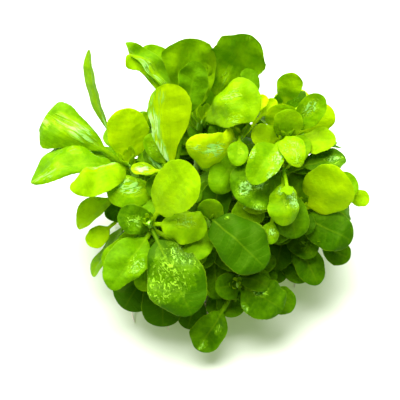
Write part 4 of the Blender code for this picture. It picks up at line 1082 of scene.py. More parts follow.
@dataclass
class LeafMaker:
    """Works out the fine surface of a leaf, in millimetres."""

    rows: int = 56
    sides: int = 40
    stalk_rows: int = 10
    stalk_width: float = 0.85
    stalk_thickness: float = 0.42
    blade_thickness: float = 0.2
    rim_thickness: float = 0.09
    rib: float = 0.28
    rib_reach: float = 0.5
    crease: float = 0.2
    crease_reach: float = 0.8
    quilt: float = 0.1
    vein_gap: float = 2.3
    vein_slope: float = 0.9
    notch: float = 0.01
    notch_turns: float = 13.0
    outline: float = 0.03
    drifts: tuple[float, float] = (8.2, 18.5)
    drift_lag: float = 1.9
    drift_share: float = 0.6
    lump: float = 0.24
    lump_length: float = 8.0
    lump_range: tuple[float, float] = (0.6, 0.9)
    lumps: int = 5
    waves: float = 2.2
    wave_lag: float = 0.9
    vein_bend: float = 0.25
    vein_power: float = 1.5
    fade: float = 5.0
    lobe_fade: float = 8.0
    tip_fade: float = 12.0
    round_power: float = 0.6
    curl_start: float = 0.6
    tone_chance: float = 0.06
    stalk_tone: float = 0.12
    apart: float = 9.0

    def surface(self, leaf: Leaf, midrib: Midrib, habit: Habit, luck: Luck,
                into: float = 0.0) -> Surface:
        """The blade and its stalk: a flat closed section carried along the midrib.

        Each section is a closed loop. Across it goes from one edge to the other and back below,
        by the cosine of an angle, and its two faces stand off the sheet by the sine of that angle
        to a small power, so that the rim is thin and round. Each half of the sheet is bent to an
        arc of its own. The sheet sinks along the midrib, swells between the side veins, has long
        low lumps, and waves towards its margin.

        Args:
            leaf: the leaf, settled.
            midrib: its line.
            habit: what is the leaf's own.
            luck: the leaf's own random numbers.
            into: how far its stalk runs on behind its base, into the stem.

        Returns:
            The closed surface with its marks.
        """
        stalk = midrib.stalk
        below = np.linspace(-into / midrib.reach, stalk, self.stalk_rows, endpoint=False)
        blade = np.sin(np.linspace(0, pi / 2, self.rows - self.stalk_rows + 1)[:-1])
        u = np.concatenate([below, stalk + (1 - stalk) * blade])
        share = np.clip((u - stalk) / (1 - stalk), 0, 1)[:, None]
        middle, tangent, upward = midrib.frame(np.append(u, 1.0))
        turn = circle(self.sides)[None, :]
        across = np.cos(turn)
        phase = luck.uniform(0, 2 * pi, 6)
        half = self.half_width(leaf, habit, share, across, phase)
        off = half * across
        on_blade = np.clip(share * self.fade, 0, 1)
        swell = on_blade * np.clip((1 - share) * self.fade, 0, 1)
        run = share * midrib.reach * (1 - stalk)
        curved = self.vein_bend * np.abs(off) ** self.vein_power
        vein = (run - np.abs(off) * self.vein_slope + curved) / self.vein_gap
        bulge = 0.5 - 0.5 * np.cos(2 * pi * (vein + phase[2]))
        bulge = bulge * np.clip(np.abs(off), 0, 1) * (1 - across**4)
        sheet = self.quilt * bulge - self.crease * np.exp(-(off / self.crease_reach) ** 2)
        sheet = sheet + habit.crumple * self.lumpiness(run, off, luck)
        wave = np.sin(2 * pi * self.waves * share + phase[3] + self.wave_lag * np.sign(across))
        sheet = (sheet + habit.wave * wave * np.abs(across) ** 3) * swell
        past = np.clip((share - self.curl_start) / (1 - self.curl_start), 0, 1)
        sheet = sheet + habit.curl * past**2
        thick = self.blade_thickness + (self.rim_thickness - self.blade_thickness) * across**4
        thick = thick + (self.stalk_thickness - thick) * (1 - on_blade) ** 2
        thick = thick * np.clip((1 - share) * self.tip_fade, 0, 1) ** 0.5
        power = self.round_power + (1 - self.round_power) * (1 - on_blade)
        round_off = np.sign(np.sin(turn)) * np.abs(np.sin(turn)) ** power
        lower = np.sin(turn) < 0
        rib = self.rib * np.exp(-(off / self.rib_reach) ** 2) * (1 - share) * on_blade * lower
        stand = sheet + thick * round_off - rib
        bend = leaf.fold + np.where(across > 0, habit.left, 0)
        bend = bend * np.minimum(1, share * Blank.FOLD_START)
        bend = np.where(np.abs(bend) < Blank.FLAT_FOLD, Blank.FLAT_FOLD, bend)
        angle = bend * across
        out = half * np.sin(angle) / bend - stand * np.sin(angle)
        lift = half * (1 - np.cos(angle)) / bend + stand * np.cos(angle)
        rings = middle[:-1, None] + out[..., None] * midrib.side + lift[..., None] * upward[:-1, None]
        end = middle[-1] + upward[-1] * habit.curl
        tone = leaf.tone.value + habit.shade + self.tone_chance * luck.uniform(-1, 1)
        marks = {
            "along": share + 0 * across,
            "across": across + 0 * share,
            "run": run * habit.streak + 0 * across + phase[4] * self.apart,
            "off": off,
            "vein": vein,
            "under": lower + 0.0 * share,
            "wet": self.wetness(habit, share, across),
            "tone": tone + self.stalk_tone * (1 - on_blade) + 0 * across,
        }
        marks = {name: np.concatenate([value[0, :1], value.ravel(), value[-1, :1]])
                 for name, value in marks.items()}
        return Surface(*Surface.tubes(rings[None], middle[:1], end[None]), marks)

    def half_width(self, leaf: Leaf, habit: Habit, share: Array, across: Array, phase: Array) -> Array:
        """Half of the leaf's width, by the place along it and the side.

        It is the larger of the blade's half and the stalk's, drawn smoothly into each other. The
        blade's outline drifts by two slow sines on each side and has fine low teeth.

        Args:
            leaf: the leaf.
            habit: what is its own.
            share: places along the blade, one a row.
            across: places across it, from 1 on the left to -1 on the right.
            phase: the starts of the sines.

        Returns:
            The half width of each place of each row, in millimetres.
        """
        side_of = np.sign(across) * np.abs(across) ** 0.5
        wide = leaf.width / 2 * habit.wide * width_along(share, habit.taper or leaf.taper, habit.tip)
        slow, fast = self.drifts
        drift = np.sin(slow * share + phase[0] + self.drift_lag * side_of)
        drift = drift + self.drift_share * np.sin(fast * share + phase[5] * side_of)
        teeth = np.sin(2 * pi * self.notch_turns * share + phase[1] * side_of)
        wide = wide * (1 + habit.lean * side_of + self.outline * drift + self.notch * teeth)
        inner = np.clip(share * self.fade, 0, 1) * np.clip((1 - share) * self.lobe_fade, 0, 1) ** 0.5
        for lobe in habit.lobes:
            swelling = lobe.reach * inner * np.exp(-(((share - lobe.along) / lobe.size) ** 2))
            wide = wide + swelling * np.clip(lobe.side.value * side_of, 0, 1)
        wide = np.maximum(wide, 0)
        full = Blank.STALK_HALF_WIDTH if leaf.width > Blank.SMALL_WIDTH else Blank.SMALL_STALK_HALF_WIDTH
        narrow = full * self.stalk_width * (1 - share) ** 0.5
        return (np.abs(wide) ** 4 + narrow**4) ** 0.25

    def lumpiness(self, run: Array, off: Array, luck: Luck) -> Array:
        """Low lumps of the sheet: plane waves in random directions, their lengths spread by half.

        Args:
            run: millimetres along the blade.
            off: millimetres off its midrib.
            luck: random numbers for the waves.

        Returns:
            The height of the sheet.
        """
        height = np.zeros(np.broadcast_shapes(run.shape, off.shape))
        shortest, spread = self.lump_range
        for heading, stretch, start in luck.uniform(0, 1, (self.lumps, 3)):
            way = run * np.cos(pi * heading) + off * np.sin(pi * heading)
            length = self.lump_length * (shortest + spread * stretch)
            height = height + np.sin(2 * pi * way / length + 2 * pi * start)
        return self.lump * height

    @staticmethod
    def wetness(habit: Habit, share: Array, across: Array) -> Array:
        """How wet the blade is: a soft round spot for each patch, by its distance in leaf shares.

        Args:
            habit: what is the leaf's own.
            share: places along the blade.
            across: places across it, from -1 to 1.

        Returns:
            The wetness, 0 where dry.
        """
        wet = np.zeros(np.broadcast_shapes(share.shape, across.shape))
        for patch in habit.wet:
            far = ((share - patch.along) ** 2 + ((across - patch.across) / 2) ** 2) ** 0.5 / patch.size
            wet = np.maximum(wet, patch.amount * np.clip(WET_CORE - WET_CORE * far, 0, 1))
        return wet


@dataclass
class YoungLeaves:
    """The young leaves folded together at the tip of a shoot, within the bud of the solid."""

    count: int = 7
    spiral: float = 137.5
    length: float = 5.2
    width: float = 3.0
    spread: float = 1.9
    start: float = 0.5
    lesser: tuple[str, ...] = ("front_left", "front", "front_low", "crest", "right")
    lesser_size: float = 0.6

    def leaves(self, stem: Stem) -> Iterator[tuple[Leaf, Midrib]]:
        """Sets the leaves round the tip by a spiral, the outer ones longer and leaning out more.

        Args:
            stem: the shoot's stem.

        Yields:
            Each leaf and its line.
        """
        run = stem.run(1.0)
        out = run.orthogonal().normalized()
        size = self.lesser_size if stem.name in self.lesser else 1.0
        tones = (Tone.GREEN, Tone.LIME) if stem.name in self.lesser else (Tone.LIME, Tone.YOUNG)
        for number in range(self.count):
            age = 1 - number / self.count
            side = Matrix.Rotation(radians(self.spiral * number), 3, run) @ out
            base = SHOOTS[stem.name].crown - run * (1 - 0.3 * age) + side * 0.3
            rise = self.start + self.length * (0.5 + 0.5 * age) * size
            tip = SHOOTS[stem.name].crown + run * rise + side * self.spread * age**0.5 * size
            reach = (tip - base).length
            width = self.width * size * (0.45 + 0.55 * age)
            leaf = Leaf(f"young {number}", stem.name, 1.0, tip, reach * 0.75, width, run * 0.4 - side,
                        -0.5 * age, 0.7, 0.7, tones[number > 2])
            midrib = Midrib(leaf, stem, True)
            midrib.base = base
            yield leaf, midrib


@dataclass
class StemMaker:
    """The fine surface of a stem: round rings along its axis, with a low swelling at each joint."""

    rows: int = 60
    sides: int = 14
    joints: int = 9
    swelling: float = 0.09
    margin: float = 0.96

    def surface(self, stem: Stem, luck: Luck, material: int) -> Surface:
        """Rings square to the stem's run, their radius waved along it and a little round it.

        Args:
            stem: the stem.
            luck: the stem's own random numbers.
            material: the number of its material.

        Returns:
            The closed surface. Its tone fades from the pale foot to the green crown.
        """
        shares = np.linspace(0, 1, self.rows)
        middle = np.array([stem.axis(share) for share in shares])
        run = np.gradient(middle, axis=0)
        run /= np.linalg.norm(run, axis=1, keepdims=True)
        out = np.cross(run, np.array([0.0, 1.0, 0.0]))
        out /= np.linalg.norm(out, axis=1, keepdims=True)
        beside = np.cross(run, out)
        turn = circle(self.sides)
        phase = luck.uniform(0, 2 * pi, 2)
        joint = np.abs(np.sin(pi * self.joints * shares + phase[0])) ** 6
        radius = stem.FOOT_RADIUS + (stem.CROWN_RADIUS - stem.FOOT_RADIUS) * shares
        radius = radius[:, None] * self.margin * (1 + self.swelling * (joint[:, None] - 0.5)
                                                  + 0.04 * np.sin(3 * turn[None] + phase[1]))
        rings = middle[:, None] + radius[..., None] * (
            np.cos(turn)[None, :, None] * out[:, None] + np.sin(turn)[None, :, None] * beside[:, None])
        along = np.repeat(shares, self.sides)
        along = np.concatenate([along[:1], along, along[-1:]])
        blank = np.zeros(len(along))
        marks = dict.fromkeys(("along", "across", "run", "off", "vein", "under", "wet"), blank)
        marks["tone"] = along
        return Surface(*Surface.tubes(rings[None], middle[:1], middle[-1:]), marks, material)


@dataclass
class RootThreads:
    """The mat of roots: many fine threads over and under a low core, with loose ends."""

    plan: RootPlan
    over: int = 230
    under: int = 120
    steps: int = 26
    sides: int = 5
    thick: tuple[float, float] = (0.16, 0.36)
    core_share: float = 0.93
    core_rows: int = 40
    core_sides: int = 96
    core_below: float = 0.35
    core_floor: float = 0.25
    core_lump: float = 0.014
    clear: float = 0.02
    seed: int = 5

    def core(self, luck: Luck) -> Surface:
        """The pressed middle of the mat: a half oval over a wavy edge, with lumps, flat below.

        Args:
            luck: random numbers for the lumps.

        Returns:
            The closed surface, rings from the middle of the floor out, up and over to the top.
        """
        turn = circle(self.core_sides)[None, :]
        tilt = np.linspace(0, 1, self.core_rows)[:, None]
        below = np.clip(tilt / self.core_below, 0, 1)
        above = np.clip((tilt - self.core_below) / (1 - self.core_below), 0, 1) * pi / 2
        phase = luck.uniform(0, 2 * pi, 8)
        waves = (np.sin((3 + 2 * k) * turn + phase[k] + (2 + k) * above) for k in range(6))
        lumps = sum(wave * self.core_lump for wave in waves)
        out = self.plan.radius * self.core_share * self.plan.edge(turn) * below
        out = np.maximum(out * np.cos(above) * (1 + lumps * below), self.clear)
        rise = self.plan.height * self.core_share - self.core_floor
        up = self.core_floor + rise * np.sin(above) * (1 + 1.4 * lumps)
        rings = np.stack([out * np.cos(turn), out * np.sin(turn), up + 0 * turn], axis=-1)
        points, quads, triangles = Surface.tubes(rings[None], np.array([[0, 0, self.core_floor]]),
                                                 np.array([[0, 0, rings[-1, :, 2].mean()]]))
        return Surface(points, quads, triangles, {"tone": np.zeros(len(points))})

    def carried(self, lines: Array, radii: Array) -> tuple[Array, Array, Array]:
        """Round sections carried along many lines at once.

        Args:
            lines: lines by points by three.
            radii: the radius at each point of each line.

        Returns:
            The points, quads and triangles of the closed tubes.
        """
        run = np.gradient(lines, axis=1)
        run /= np.linalg.norm(run, axis=2, keepdims=True) + 1e-9
        lean = np.array([0.13, 0.29, 1.0])
        out = np.cross(run, lean)
        out /= np.linalg.norm(out, axis=2, keepdims=True) + 1e-9
        beside = np.cross(run, out)
        turn = circle(self.sides)[None, None, :, None]
        spread = np.cos(turn) * out[:, :, None] + np.sin(turn) * beside[:, :, None]
        rings = lines[:, :, None] + radii[:, :, None, None] * spread
        return Surface.tubes(rings, lines[:, 0], lines[:, -1])

    def wandering(self, luck: Luck) -> Surface:
        """Threads over the dome and threads pressed under it.

        A thread over the dome runs outwards and down while its turn drifts by slow sines. One
        under it crosses the floor on a bowed chord.

        Args:
            luck: random numbers for every thread.

        Returns:
            All the threads as one surface.
        """
        t = np.linspace(0, 1, self.steps)[None, :]
        number = luck.uniform(0, 1, (self.over, 1, 8))
        turn = 2 * pi * number[..., 0] + (number[..., 1] - 0.5) * 2.4 * t \
            + 0.10 * np.sin(9 * t + 6 * number[..., 2]) + 0.06 * np.sin(21 * t + 6 * number[..., 3])
        tilt = 0.12 + 0.5 * number[..., 4] + (0.55 + 0.5 * number[..., 5]) * t
        tilt = np.clip(tilt, 0, 1) * pi / 2
        out = self.plan.radius * self.core_share * self.plan.edge(turn) * np.sin(tilt)
        up = self.plan.height * self.core_share * np.cos(tilt)
        lift = 0.15 + 0.35 * number[..., 6] * np.sin(pi * t)
        over = np.stack([(out + lift) * np.cos(turn), (out + lift) * np.sin(turn),
                         np.maximum(up + lift, 0.45)], axis=-1)
        number = luck.uniform(0, 1, (self.under, 1, 6))
        start = 2 * pi * number[..., 0]
        reach = self.plan.radius * 0.9
        chord = (t - 0.5) * 2 * reach * (0.35 + 0.6 * number[..., 1])
        bow = reach * (number[..., 2] - 0.5) * 1.3 + 1.5 * np.sin(7 * t + 6 * number[..., 3])
        height = 0.42 + 0.1 * np.sin(11 * t + 6 * number[..., 4])
        under = np.stack([chord * np.cos(start) - bow * np.sin(start),
                          chord * np.sin(start) + bow * np.cos(start), height], axis=-1)
        distance = np.hypot(under[..., 0], under[..., 1])[..., None]
        under[..., :2] *= np.minimum(1, reach / np.maximum(distance, 1e-6))
        lines = np.concatenate([over, under])
        size = self.thick[0] + (self.thick[1] - self.thick[0]) * luck.uniform(0, 1, (len(lines), 1)) ** 2
        radii = size * (1 - 0.7 * t**3)
        lines[..., 2] = np.maximum(lines[..., 2], radii + self.clear)
        points, quads, triangles = self.carried(lines, radii)
        tone = np.repeat(luck.uniform(0.3, 1, len(lines)), len(points) // len(lines))
        return Surface(points, quads, triangles, {"tone": tone})

    def loose_ends(self, luck: Luck) -> Surface:
        """The loose roots that stick out round the mat, curves through the three points of their plan."""
        t = np.linspace(0, 1, self.steps)[None, :, None]
        lines = np.array([[list(point) for point in self.plan.line(*place)] for place in ROOT_ENDS])
        start, knee, end = lines[:, None, 0], lines[:, None, 1], lines[:, None, 2]
        curve = np.where(t < 0.5, start + (knee - start) * 2 * t, knee + (end - knee) * (2 * t - 1))
        smooth = start * (1 - t) ** 2 + (2 * knee - (start + end) / 2) * 2 * t * (1 - t) + end * t**2
        curve = 0.5 * curve + 0.5 * smooth
        sway = luck.uniform(0, 2 * pi, (len(lines), 1, 1))
        curve = curve + np.sin(pi * t) * 0.25 * np.sin(14 * t + sway) * np.array([1.0, 1.0, 0.0])
        radii = self.plan.root_radius * (0.75 - 0.35 * t[..., 0] ** 2) * np.ones((len(lines), 1))
        curve[..., 2] = np.maximum(curve[..., 2], radii + self.clear)
        points, quads, triangles = self.carried(curve, radii)
        return Surface(points, quads, triangles, {"tone": np.ones(len(points))})

    def surfaces(self) -> list[Surface]:
        """The core, the threads and the loose ends."""
        luck = np.random.default_rng(self.seed)
        return [self.core(luck), self.wandering(luck), self.loose_ends(luck)]


class Nodes:
    """Short calls for building a material's node tree."""

    def __init__(self, name: str) -> None:
        """Starts a material with an empty node tree."""
        self.material = bpy.data.materials.new(name)
        self.material.use_nodes = True
        self.tree = self.material.node_tree
        self.tree.nodes.clear()

    def add(self, kind: str, inputs: Optional[dict] = None, **settings: object) -> bpy.types.Node:
        """Adds a node.

        Args:
            kind: the node's type without its prefix.
            inputs: a value or a socket for each named or numbered input.
            settings: the node's own settings.

        Returns:
            The node.
        """
        node = self.tree.nodes.new(f"ShaderNode{kind}")
        for name, value in settings.items():
            setattr(node, name, value)
        for key, value in (inputs or {}).items():
            if isinstance(value, Socket):
                self.tree.links.new(value, node.inputs[key])
            else:
                node.inputs[key].default_value = value
        return node

    def math(self, operation: str, *values: object) -> Socket:
        """A Math node's result."""
        return self.add("Math", dict(enumerate(values)), operation=operation).outputs[0]

    def plus(self, first: object, second: object) -> Socket:
        """The sum of two values."""
        return self.math("ADD", first, second)

    def minus(self, first: object, second: object) -> Socket:
        """The first value less the second."""
        return self.math("SUBTRACT", first, second)

    def times(self, first: object, second: object) -> Socket:
        """The product of two values."""
        return self.math("MULTIPLY", first, second)

    def step(self, value: object, low: float, high: float) -> Socket:
        """A smooth step from 0 at low to 1 at high."""
        inputs = {0: value, 1: low, 2: high, 3: 0.0, 4: 1.0}
        return self.add("MapRange", inputs, interpolation_type="SMOOTHSTEP").outputs[0]

    def mark(self, name: str) -> Socket:
        """A vertex value of the piece, by its name."""
        return self.add("Attribute", attribute_name=name).outputs["Fac"]

    def noise(self, scale: float, detail: float, distortion: float = 0.0,
              place: Optional[Socket] = None) -> Socket:
        """Noise of so many lumps to the unit of a place, or else to a metre of object coordinates."""
        if place is None:
            place = self.add("TexCoord").outputs["Object"]
        inputs = {"Vector": place, "Scale": scale, "Detail": detail, "Distortion": distortion}
        return self.add("TexNoise", inputs).outputs["Fac"]

    def swing(self, scale: float, detail: float, amount: float) -> Socket:
        """Noise about 0, from minus half the amount to plus half."""
        return self.times(self.minus(self.noise(scale, detail), 0.5), amount)

    def blend(self, share: object, first: object, second: object, way: str = "MIX") -> Socket:
        """A mix of two colours."""
        node = self.add("Mix", {0: share, 6: first, 7: second}, data_type="RGBA", blend_type=way)
        return node.outputs[2]

    def ramp(self, value: Socket, stops: Sequence[tuple[float, tuple]]) -> Socket:
        """A colour ramp through the stops."""
        node = self.add("ValToRGB", {0: value})
        elements = node.color_ramp.elements
        while len(elements) < len(stops):
            elements.new(0.5)
        for element, (place, colour) in zip(elements, stops):
            element.position = place
            element.color = (*colour, 1)
        return node.outputs[0]

    def finish(self, shader: Socket) -> bpy.types.Material:
        """Links the shader to the output and hands the material over."""
        self.add("OutputMaterial", {"Surface": shader})
        return self.material


@dataclass(frozen=True)
class LeafFinish:
    """Thin moist leaf, lit through, with pale ribs and wet wrinkled patches.

    Its rims and the lines of its wet patches carry painted highlights, its wet patches a painted sheen.
    """

    name: str = "moist_leaf"
    shades: tuple = ((0.0, (0.034, 0.125, 0.0002)), (0.32, (0.126, 0.315, 0.0002)),
                     (0.64, (0.285, 0.505, 0.0004)), (0.8, (0.370, 0.570, 0.0004)),
                     (1.0, (0.500, 0.700, 0.0004)))
    tone_scale: float = 0.8
    rib: tuple = (0.34, 0.54, 0.01, 1)
    under_side: tuple = (0.16, 0.32, 0.005, 1)
    light: tuple = (1.0, 0.97, 0.04, 1)
    # Painted highlight colours for the lines of the wet patches: lime, paler, and near white.
    painted_glint: tuple = (0.42, 0.84, 0.18, 1)
    painted_lime_glint: tuple = (0.34, 0.66, 0.025, 1)
    painted_white_glint: tuple = (0.72, 0.98, 0.50, 1)
    gloss_tint: tuple = (0.72, 1.0, 0.05, 1)
    through: float = 0.36
    dry_roughness: float = 0.5
    wet_roughness: float = 0.22
    coat: float = 0.12
    mottle: tuple = (230, 4, 0.55)
    grain: tuple = (1000, 3, 0.3)
    painted_wet_sheen: float = 0.16
    rib_line: tuple = (0.05, 0.42)
    rib_share: float = 0.22
    rib_fade: float = 0.18
    vein_share: float = 0.05
    painted_rim_line: tuple = (0.94, 1.0)
    painted_rim_share: float = 0.3
    under_share: float = 0.3
    painted_glint_share: float = 0.85
    ragged: tuple = (0.35, 3.0, 0.6)
    patches: tuple = (0.5, 2.0, 1.0)
    swirl: tuple = (0.4, 1.6, 1.4)
    flecks: tuple = (0.9, 1.5, 1.5)
    swells: tuple = (1.1, 2.0)

    def colour(self, nodes: Nodes, wet: Socket, painted_glints_and_ripples: Socket) -> Socket:
        """The blade's green by its tone and a soft mottle, paler on ribs, veins and below.

        Its rims get a pale line, a painted highlight.

        Args:
            nodes: the material in the making.
            wet: where the leaf is wet, which a painted sheen makes a little brighter.
            painted_glints_and_ripples: the lines of the wet patches, painted into the colour as pale
                highlights.

        Returns:
            The colour.
        """
        grade = nodes.plus(nodes.mark("tone"), nodes.swing(*self.mottle))
        grade = nodes.plus(grade, nodes.swing(*self.grain))
        # Painted sheen: wet places are a little brighter.
        grade = nodes.plus(grade, nodes.times(wet, self.painted_wet_sheen))
        green = nodes.ramp(nodes.times(grade, self.tone_scale), self.shades)
        off = nodes.math("ABSOLUTE", nodes.mark("off"))
        rib = nodes.minus(1.0, nodes.step(off, *self.rib_line))
        fade = nodes.minus(self.rib_share, nodes.times(nodes.mark("along"), self.rib_fade))
        rib = nodes.times(rib, fade)
        vein = nodes.times(self.vein_line(nodes), self.vein_share)
        # Painted highlight: a pale line along the rim, for edges that catch the light.
        edge = nodes.math("ABSOLUTE", nodes.mark("across"))
        rim = nodes.times(nodes.step(edge, *self.painted_rim_line), self.painted_rim_share)
        pale = nodes.math("MAXIMUM", nodes.math("MAXIMUM", rib, vein), rim)
        green = nodes.blend(pale, green, self.rib)
        green = nodes.blend(nodes.times(nodes.mark("under"), self.under_share), green, self.under_side)
        # Painted highlights: the lines of a wet patch are lime, paler where it is wetter, near white where
        # wettest.
        painted_glint = nodes.blend(nodes.step(nodes.mark("wet"), 1.0, 1.5), self.painted_lime_glint, self.painted_glint)
        painted_glint = nodes.blend(nodes.step(nodes.mark("wet"), 1.6, 1.9), painted_glint, self.painted_white_glint)
        return nodes.blend(nodes.times(painted_glints_and_ripples, self.painted_glint_share), green, painted_glint)

    def vein_line(self, nodes: Nodes) -> Socket:
        """Thin lines where the vein mark passes a whole number, faded towards midrib and rim."""
        saw = nodes.math("FRACT", nodes.mark("vein"))
        near = nodes.math("ABSOLUTE", nodes.minus(saw, 0.5))
        line = nodes.step(near, 0.43, 0.5)
        edge = nodes.math("ABSOLUTE", nodes.mark("across"))
        fade = nodes.minus(1.0, nodes.step(edge, 0.6, 0.95))
        return nodes.times(line, fade)

    def own_place(self, nodes: Nodes) -> Socket:
        """The place on the leaf in millimetres: along it, off its midrib, and above or below."""
        inputs = {0: nodes.mark("run"), 1: nodes.mark("off"), 2: nodes.mark("under")}
        return nodes.add("CombineXYZ", inputs).outputs[0]

    def wetness(self, nodes: Nodes) -> Socket:
        """Where the leaf is wet: its wet mark, broken up by noise along the leaf."""
        lumps = nodes.noise(*self.ragged, self.own_place(nodes))
        ragged = nodes.times(nodes.minus(lumps, 0.5), 2.2)
        level = nodes.plus(nodes.plus(nodes.mark("wet"), -0.42), ragged)
        return nodes.step(level, 0.0, 0.45)

    def painted_glint_and_ripple_lines(self, nodes: Nodes) -> Socket:
        """Lines and flecks in the wet patches, which a wetter place fills in more.

        They are painted highlights in the colour and ripples in the bump. The lines lie where a
        slow noise passes one of its even steps. They are broken up by patches of a ragged noise.
        """
        place = self.own_place(nodes)
        filled = nodes.times(nodes.minus(nodes.mark("wet"), 1.0), 0.22)
        patches = nodes.step(nodes.plus(nodes.noise(*self.patches, place), filled), 0.44, 0.56)
        saw = nodes.math("FRACT", nodes.times(nodes.noise(*self.swirl, place), 4.0))
        near = nodes.math("ABSOLUTE", nodes.minus(saw, 0.5))
        line = nodes.minus(1.0, nodes.step(near, 0.05, 0.2))
        fleck = nodes.plus(nodes.noise(*self.flecks, place), nodes.times(filled, 0.5))
        fleck = nodes.step(fleck, 0.52, 0.64)
        lit = nodes.math("MAXIMUM", nodes.times(line, 0.8), fleck)
        return nodes.times(nodes.plus(0.12, nodes.times(patches, 0.88)), lit)

    def shiver(self, nodes: Nodes) -> Socket:
        """Small uneven swells, which break up a reflection."""
        return nodes.times(nodes.noise(*self.swells, place=self.own_place(nodes)), 0.22)

    def relief(self, nodes: Nodes, painted_glints_and_ripples: Socket) -> Socket:
        """Bump: ripples along the painted highlight lines, sunken side veins and a fine grain of cells."""
        height = nodes.plus(nodes.times(painted_glints_and_ripples, 0.3), self.shiver(nodes))
        height = nodes.minus(height, nodes.times(self.vein_line(nodes), 0.04))
        height = nodes.plus(height, nodes.times(nodes.noise(2600, 2), 0.05))
        height = nodes.plus(height, nodes.times(nodes.noise(420, 2), 0.14))
        return nodes.add("Bump", {"Strength": 0.9, "Distance": 0.0008, "Height": height}).outputs[0]

    def material(self) -> bpy.types.Material:
        """Gloss and green in front, mixed with light that comes through from behind."""
        nodes = Nodes(self.name)
        wet = self.wetness(nodes)
        # Painted highlights and ripples: the lines of the wet patches, painted into the colour and raised in
        # the bump.
        painted_glints_and_ripples = nodes.times(wet, self.painted_glint_and_ripple_lines(nodes))
        colour = self.colour(nodes, wet, painted_glints_and_ripples)
        normal = self.relief(nodes, painted_glints_and_ripples)
        coat = nodes.times(nodes.step(nodes.mark("wet"), 1.0, 1.8), self.coat)
        coat = nodes.times(wet, coat)
        gap = self.wet_roughness - self.dry_roughness
        rough = nodes.plus(self.dry_roughness, nodes.times(wet, gap))
        front = nodes.add("BsdfPrincipled", {"Base Color": colour, "Roughness": rough, "Normal": normal,
                                             "Specular IOR Level": 0.14, "Specular Tint": self.gloss_tint,
                                             "Coat Weight": coat, "Coat Roughness": 0.1, "Coat IOR": 1.5})
        glow = nodes.blend(0.6, colour, self.light, "MULTIPLY")
        glow = nodes.blend(0.55, glow, nodes.blend(1.0, glow, (1.9, 1.9, 1.0, 1), "MULTIPLY"))
        back = nodes.add("BsdfTranslucent", {"Color": glow, "Normal": normal})
        mixed = nodes.add("MixShader", {0: self.through, 1: front.outputs[0], 2: back.outputs[0]})
        return nodes.finish(mixed.outputs[0])


@dataclass(frozen=True)
class StemFinish:
    """Juicy stem, pale at its foot and yellow green at its crown, with fine grooves."""

    name: str = "juicy_stem"
    shades: tuple = ((0.0, (0.42, 0.50, 0.20)), (0.35, (0.25, 0.45, 0.03)), (1.0, (0.22, 0.50, 0.01)))

    def material(self) -> bpy.types.Material:
        """A satin skin over flesh that scatters light a little."""
        nodes = Nodes(self.name)
        drift = nodes.swing(240, 3, 0.4)
        colour = nodes.ramp(nodes.plus(nodes.mark("tone"), drift), self.shades)
        grain = nodes.noise(1400, 2)
        normal = nodes.add("Bump", {"Strength": 0.4, "Distance": 0.0002, "Height": grain}).outputs[0]
        rough = nodes.plus(0.3, nodes.times(grain, 0.2))
        shader = nodes.add("BsdfPrincipled", {
            "Base Color": colour, "Roughness": rough, "Normal": normal, "Subsurface Weight": 0.25,
            "Subsurface Radius": (0.6, 1.0, 0.2), "Subsurface Scale": 0.0008})
        return nodes.finish(shader.outputs[0])


@dataclass(frozen=True)
class RootFinish:
    """Fine pale roots, cream to straw, over a dark core, dark green up high as painted shade."""

    name: str = "pale_roots"
    shades: tuple = ((0.0, (0.15, 0.13, 0.06)), (0.4, (0.42, 0.38, 0.22)), (1.0, (0.78, 0.75, 0.58)))
    # Painted shade: the dark green that the roots take on top, under the leaves.
    upper: tuple = (0.030, 0.060, 0.008, 1)

    def material(self) -> bpy.types.Material:
        """A moist skin coloured by thread and by a long soft noise, with painted shade up high."""
        nodes = Nodes(self.name)
        drift = nodes.swing(260, 3, 0.5)
        colour = nodes.ramp(nodes.plus(nodes.mark("tone"), drift), self.shades)
        # Painted shade: from 3 mm up to 8 mm the roots go dark green.
        place = nodes.add("SeparateXYZ", {0: nodes.add("TexCoord").outputs["Object"]})
        high = nodes.plus(place.outputs[2], nodes.times(drift, 0.004))
        colour = nodes.blend(nodes.times(nodes.step(high, 0.003, 0.008), 0.9), colour, self.upper)
        grain = nodes.noise(1700, 3)
        normal = nodes.add("Bump", {"Strength": 0.5, "Distance": 0.0002, "Height": grain}).outputs[0]
        rough = nodes.plus(0.35, nodes.times(grain, 0.25))
        shader = nodes.add("BsdfPrincipled", {"Base Color": colour, "Roughness": rough, "Normal": normal,
                                              "Subsurface Weight": 0.3, "Subsurface Radius": (1.0, 0.8, 0.5),
                                              "Subsurface Scale": 0.0006})
        return nodes.finish(shader.outputs[0])


